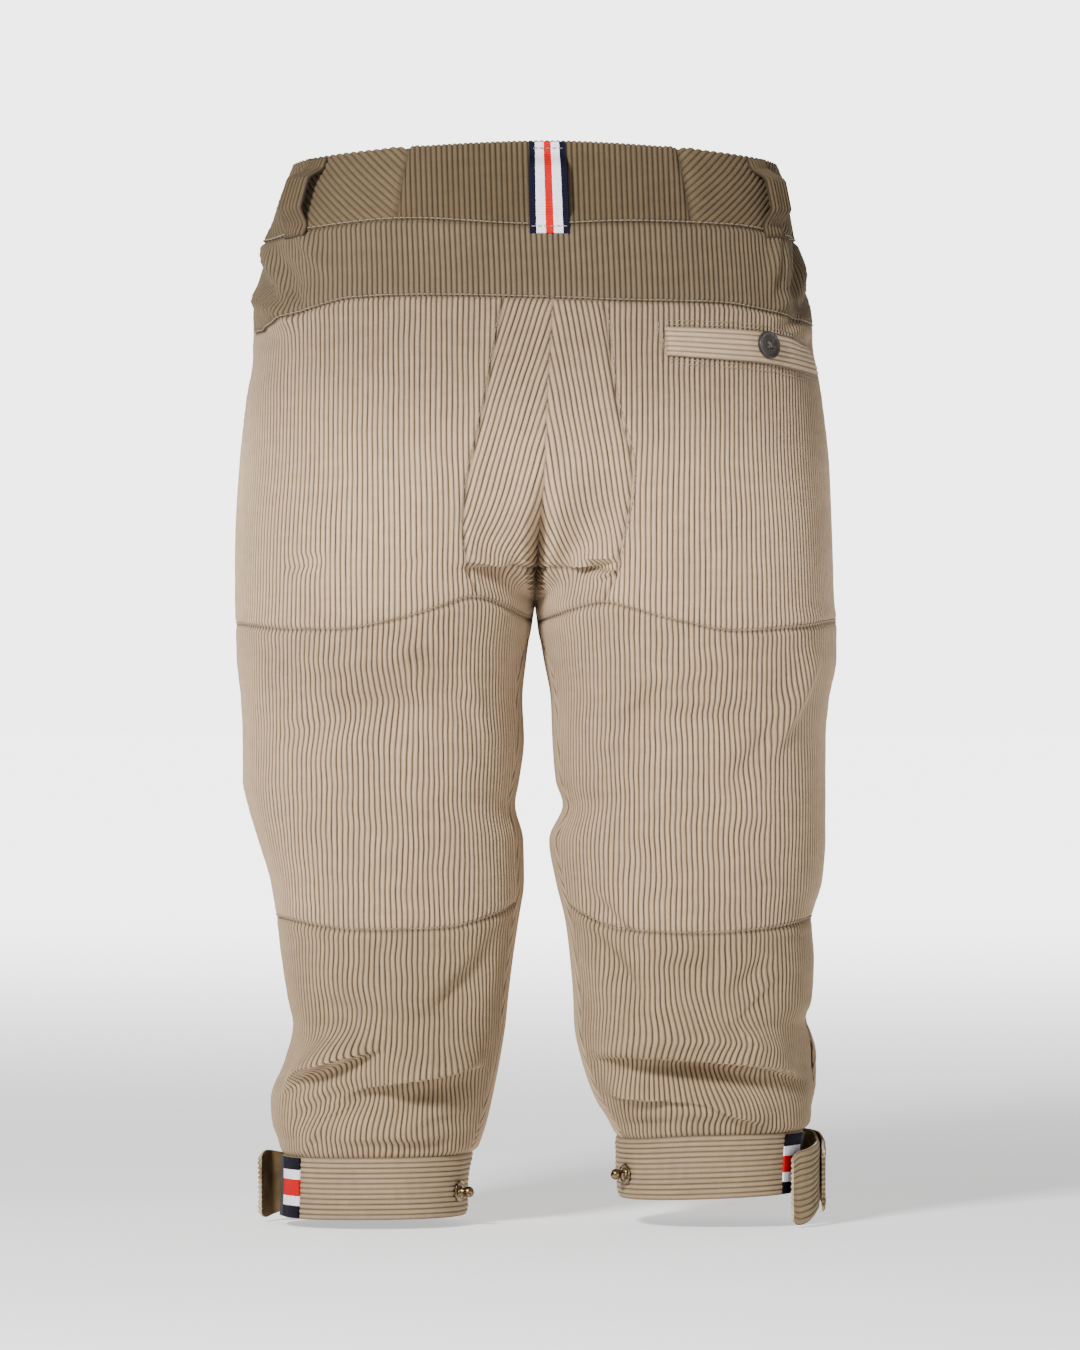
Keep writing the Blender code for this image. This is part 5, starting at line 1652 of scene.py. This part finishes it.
# ---- topstitching ----
STITCH = 0.0029  # length of one stitch
STITCH_GAP = 0.0009
STITCH_RADIUS = 0.00033
STITCH_LIFT = 0.0002  # how far a stitch route lies off the cloth
WELT_MARGINS = (0.0016, 0.0042)  # how far outside the welt its two rows of stitches run
STITCH_BESIDE = (0.0012, 0.0014)  # how far from its seam: at waist and yoke, and elsewhere


def stitches(name, routes):
    """Rows of stitches along routes of (points, normals): each dips into the cloth at its ends."""
    body = Body()
    for points, normals in routes:
        run = np.concatenate([[0], np.cumsum(np.linalg.norm(np.diff(points, axis=0), axis=1))])
        pick = lambda values, at: np.stack([np.interp(at, run, values[:, k]) for k in range(3)], -1)
        count = int(run[-1] / (STITCH + STITCH_GAP))
        for k in range(count):
            t = np.linspace(0, 1, 5)
            at = (k + 0.3) * (STITCH + STITCH_GAP) + STITCH * t
            lift = -0.0005 + 0.0009 * np.sqrt(np.sin(np.pi * t))
            route = pick(points, at) + pick(normals, at) * lift[:, None]
            tube_into(body, route, STITCH_RADIUS * np.array([0.7, 1, 1, 1, 0.7]), k * 1.7)
    piece(name, body, [THREAD], (), smooth_angle=0)


def on_cloth(side, shares, heights):
    """A stitch route over the cloth."""
    normals = facing(side, shares, heights, cloth)
    return cloth(side, shares, heights) + normals * STITCH_LIFT, normals


def seam_route(line, side, start, stop, above, count):
    """A route along a seam line, this far above it."""
    shares = np.linspace(start, stop, count)
    return on_cloth(side, shares, seam_height(line, side, shares) + above)


def make_stitching():
    waist, yoke, seat, thigh, knee = [], [], [], [], []
    for side in (LEFT, RIGHT):
        lines = side_lines(side)
        near, far = STITCH_BESIDE
        waist.append(seam_route(WAIST_SEAM, side, 0, 1, near, 220))
        yoke.append(seam_route(YOKE_SEAM, side, SIDE, 1, near, 160))
        thigh.append(seam_route(lines[4], side, SIDE, 0.995, far, 160))
        knee.append(seam_route(lines[5], side, SIDE, 0.995, far, 160))
        down = np.linspace(0.02, 0.97, 90)
        shares, heights = np.transpose([seat_seam(side, *lines[1:3], part) for part in down])
        beside = STITCH_BESIDE[1] / girth_at(side, 0.9, -0.2, cloth)
        seat.append(on_cloth(side, shares - beside, heights))
    stitches("stitching_waist", waist)
    stitches("stitching_yoke", yoke)
    stitches("stitching_seat", seat)
    stitches("stitching_legs", thigh + knee)
    boxes = []
    shares, top, low = welt_outline(np.linspace(0, 1, 60))
    outward = np.sign(shares[-1] - shares[0])
    girth = girth_at(RIGHT, (shares[0] + shares[-1]) / 2, WELT_LEVEL, cloth)
    for margin in WELT_MARGINS:
        for heights in (top + margin, low - margin):
            boxes.append(on_cloth(RIGHT, shares, heights))
        for k, way in ((0, -outward), (-1, outward)):
            heights = np.linspace(top[k] + margin, low[k] - margin, 20)
            share = shares[k] + margin / girth * way
            boxes.append(on_cloth(RIGHT, np.full(20, share), heights))
    stitches("stitching_pocket", boxes)


make_waistband()
make_yoke()
make_loops()
make_cuffs()
make_cuff_trims()
make_pocket()
make_fly()
for tab in CUFF_TABS:
    make_tab(*tab)
make_button("button_pocket", POCKET_BUTTON_AT, "back", WALL + SEWN_ON, "pocket_button")
make_button("button_waist", WAIST_BUTTON_AT, "front", GAP, "waist_button")
make_studs()
make_stitching()


# ---- stage ----
def make_stage():
    """A pale floor out to the horizon, a pale sky, two soft lights and the camera."""
    angle = np.linspace(0, 2 * np.pi, FLOOR_SIDES, endpoint=False)
    rim = [(FLOOR_REACH * np.cos(t), FLOOR_REACH * np.sin(t), FLOOR) for t in angle]
    vertices = [(0.0, 0.0, FLOOR)] + rim
    faces = [(0, k + 1, (k + 1) % FLOOR_SIDES + 1) for k in range(FLOOR_SIDES)]
    mesh = bpy.data.meshes.new("floor")
    mesh.from_pydata(vertices, [], faces)
    made = Nodes("floor_paper", 0.95, Specular_IOR_Level=0.0, Emission_Color=(1.0, 1.0, 1.0, 1.0))
    x, y, _ = made.split(made.place())
    away = made.math("SQRT", made.add(made.times(x, x), made.times(y, y)))
    glow = made.span(made.split(made.place())[1], 0.2, 6.0, *FLOOR_GLOW)
    made.tree.links.new(glow, made.shader.inputs["Emission Strength"])
    tone = made.span(away, 1.0, 9.0, 0.84, 0.92)
    mesh.materials.append(made.finish(made.grey(tone)))
    floor = placed("floor", mesh)

    world = bpy.data.worlds.new("studio")
    world.use_nodes = True
    tree = world.node_tree
    tree.nodes["Background"].inputs[0].default_value = (1.0, 1.0, 1.0, 1.0)
    split = tree.nodes.new("ShaderNodeSeparateXYZ")
    tree.links.new(tree.nodes.new("ShaderNodeTexCoord").outputs["Generated"], split.inputs[0])
    product = tree.nodes.new("ShaderNodeMath")
    product.operation = "MULTIPLY"
    for axis, span in enumerate((SKY_FRONT_TO_BACK, SKY_UPWARDS)):
        fall = tree.nodes.new("ShaderNodeMapRange")
        fall.interpolation_type = "SMOOTHSTEP"
        tree.links.new(split.outputs[1 + axis], fall.inputs[0])
        for socket, value in zip(list(fall.inputs)[1:5], span):
            socket.default_value = value
        tree.links.new(fall.outputs[0], product.inputs[axis])
    tree.links.new(product.outputs[0], tree.nodes["Background"].inputs[1])
    bpy.context.scene.world = world

    for name, place, aim, size, power in LIGHTS:
        lamp = bpy.data.lights.new(name, "AREA")
        lamp.shape = "RECTANGLE"
        lamp.size, lamp.size_y = size
        lamp.energy = power
        thing = placed(name, lamp)
        thing.location = place
        away = np.array(place) - np.array(aim)
        tilt = np.arctan2(np.hypot(away[0], away[1]), away[2])
        thing.rotation_euler = (tilt, 0.0, np.arctan2(away[0], -away[1]))
        thing.visible_camera = False

    lens = bpy.data.cameras.new("camera")
    lens.sensor_fit = "HORIZONTAL"
    lens.sensor_width = 36.0
    lens.lens = 36.0 * CAMERA_AWAY / FRAME_WIDTH
    camera = placed("camera", lens)
    camera.location = (CAMERA_ACROSS, -CAMERA_AWAY, CAMERA_LEVEL)
    camera.rotation_euler = (np.pi / 2, 0.0, 0.0)
    bpy.context.scene.camera = camera


FLOOR = -0.6435
FLOOR_REACH = 40.0
FLOOR_SIDES = 64
FLOOR_GLOW = (0.62, 4.0)  # light that the floor gives of its own, near and far
SKY_FRONT_TO_BACK = (0.10, 0.85, 0.30, 4.2)  # from and to this far back: its strength at each
SKY_UPWARDS = (0.16, 0.50, 1.0, 0.15)
LIGHTS = (  # name, place, aimed at, size, power
    ("key", (-1.05, -2.2, 0.95), (0.0, 0.0, -0.36), (0.45, 0.45), 128.0),
    ("fill", (0.9, -2.3, -0.45), (0.0, 0.0, -0.32), (0.8, 0.8), 14.0),
)
CAMERA_ACROSS = 0.0031
CAMERA_AWAY = 4.6
CAMERA_LEVEL = -0.304
FRAME_WIDTH = 0.6696

make_stage()
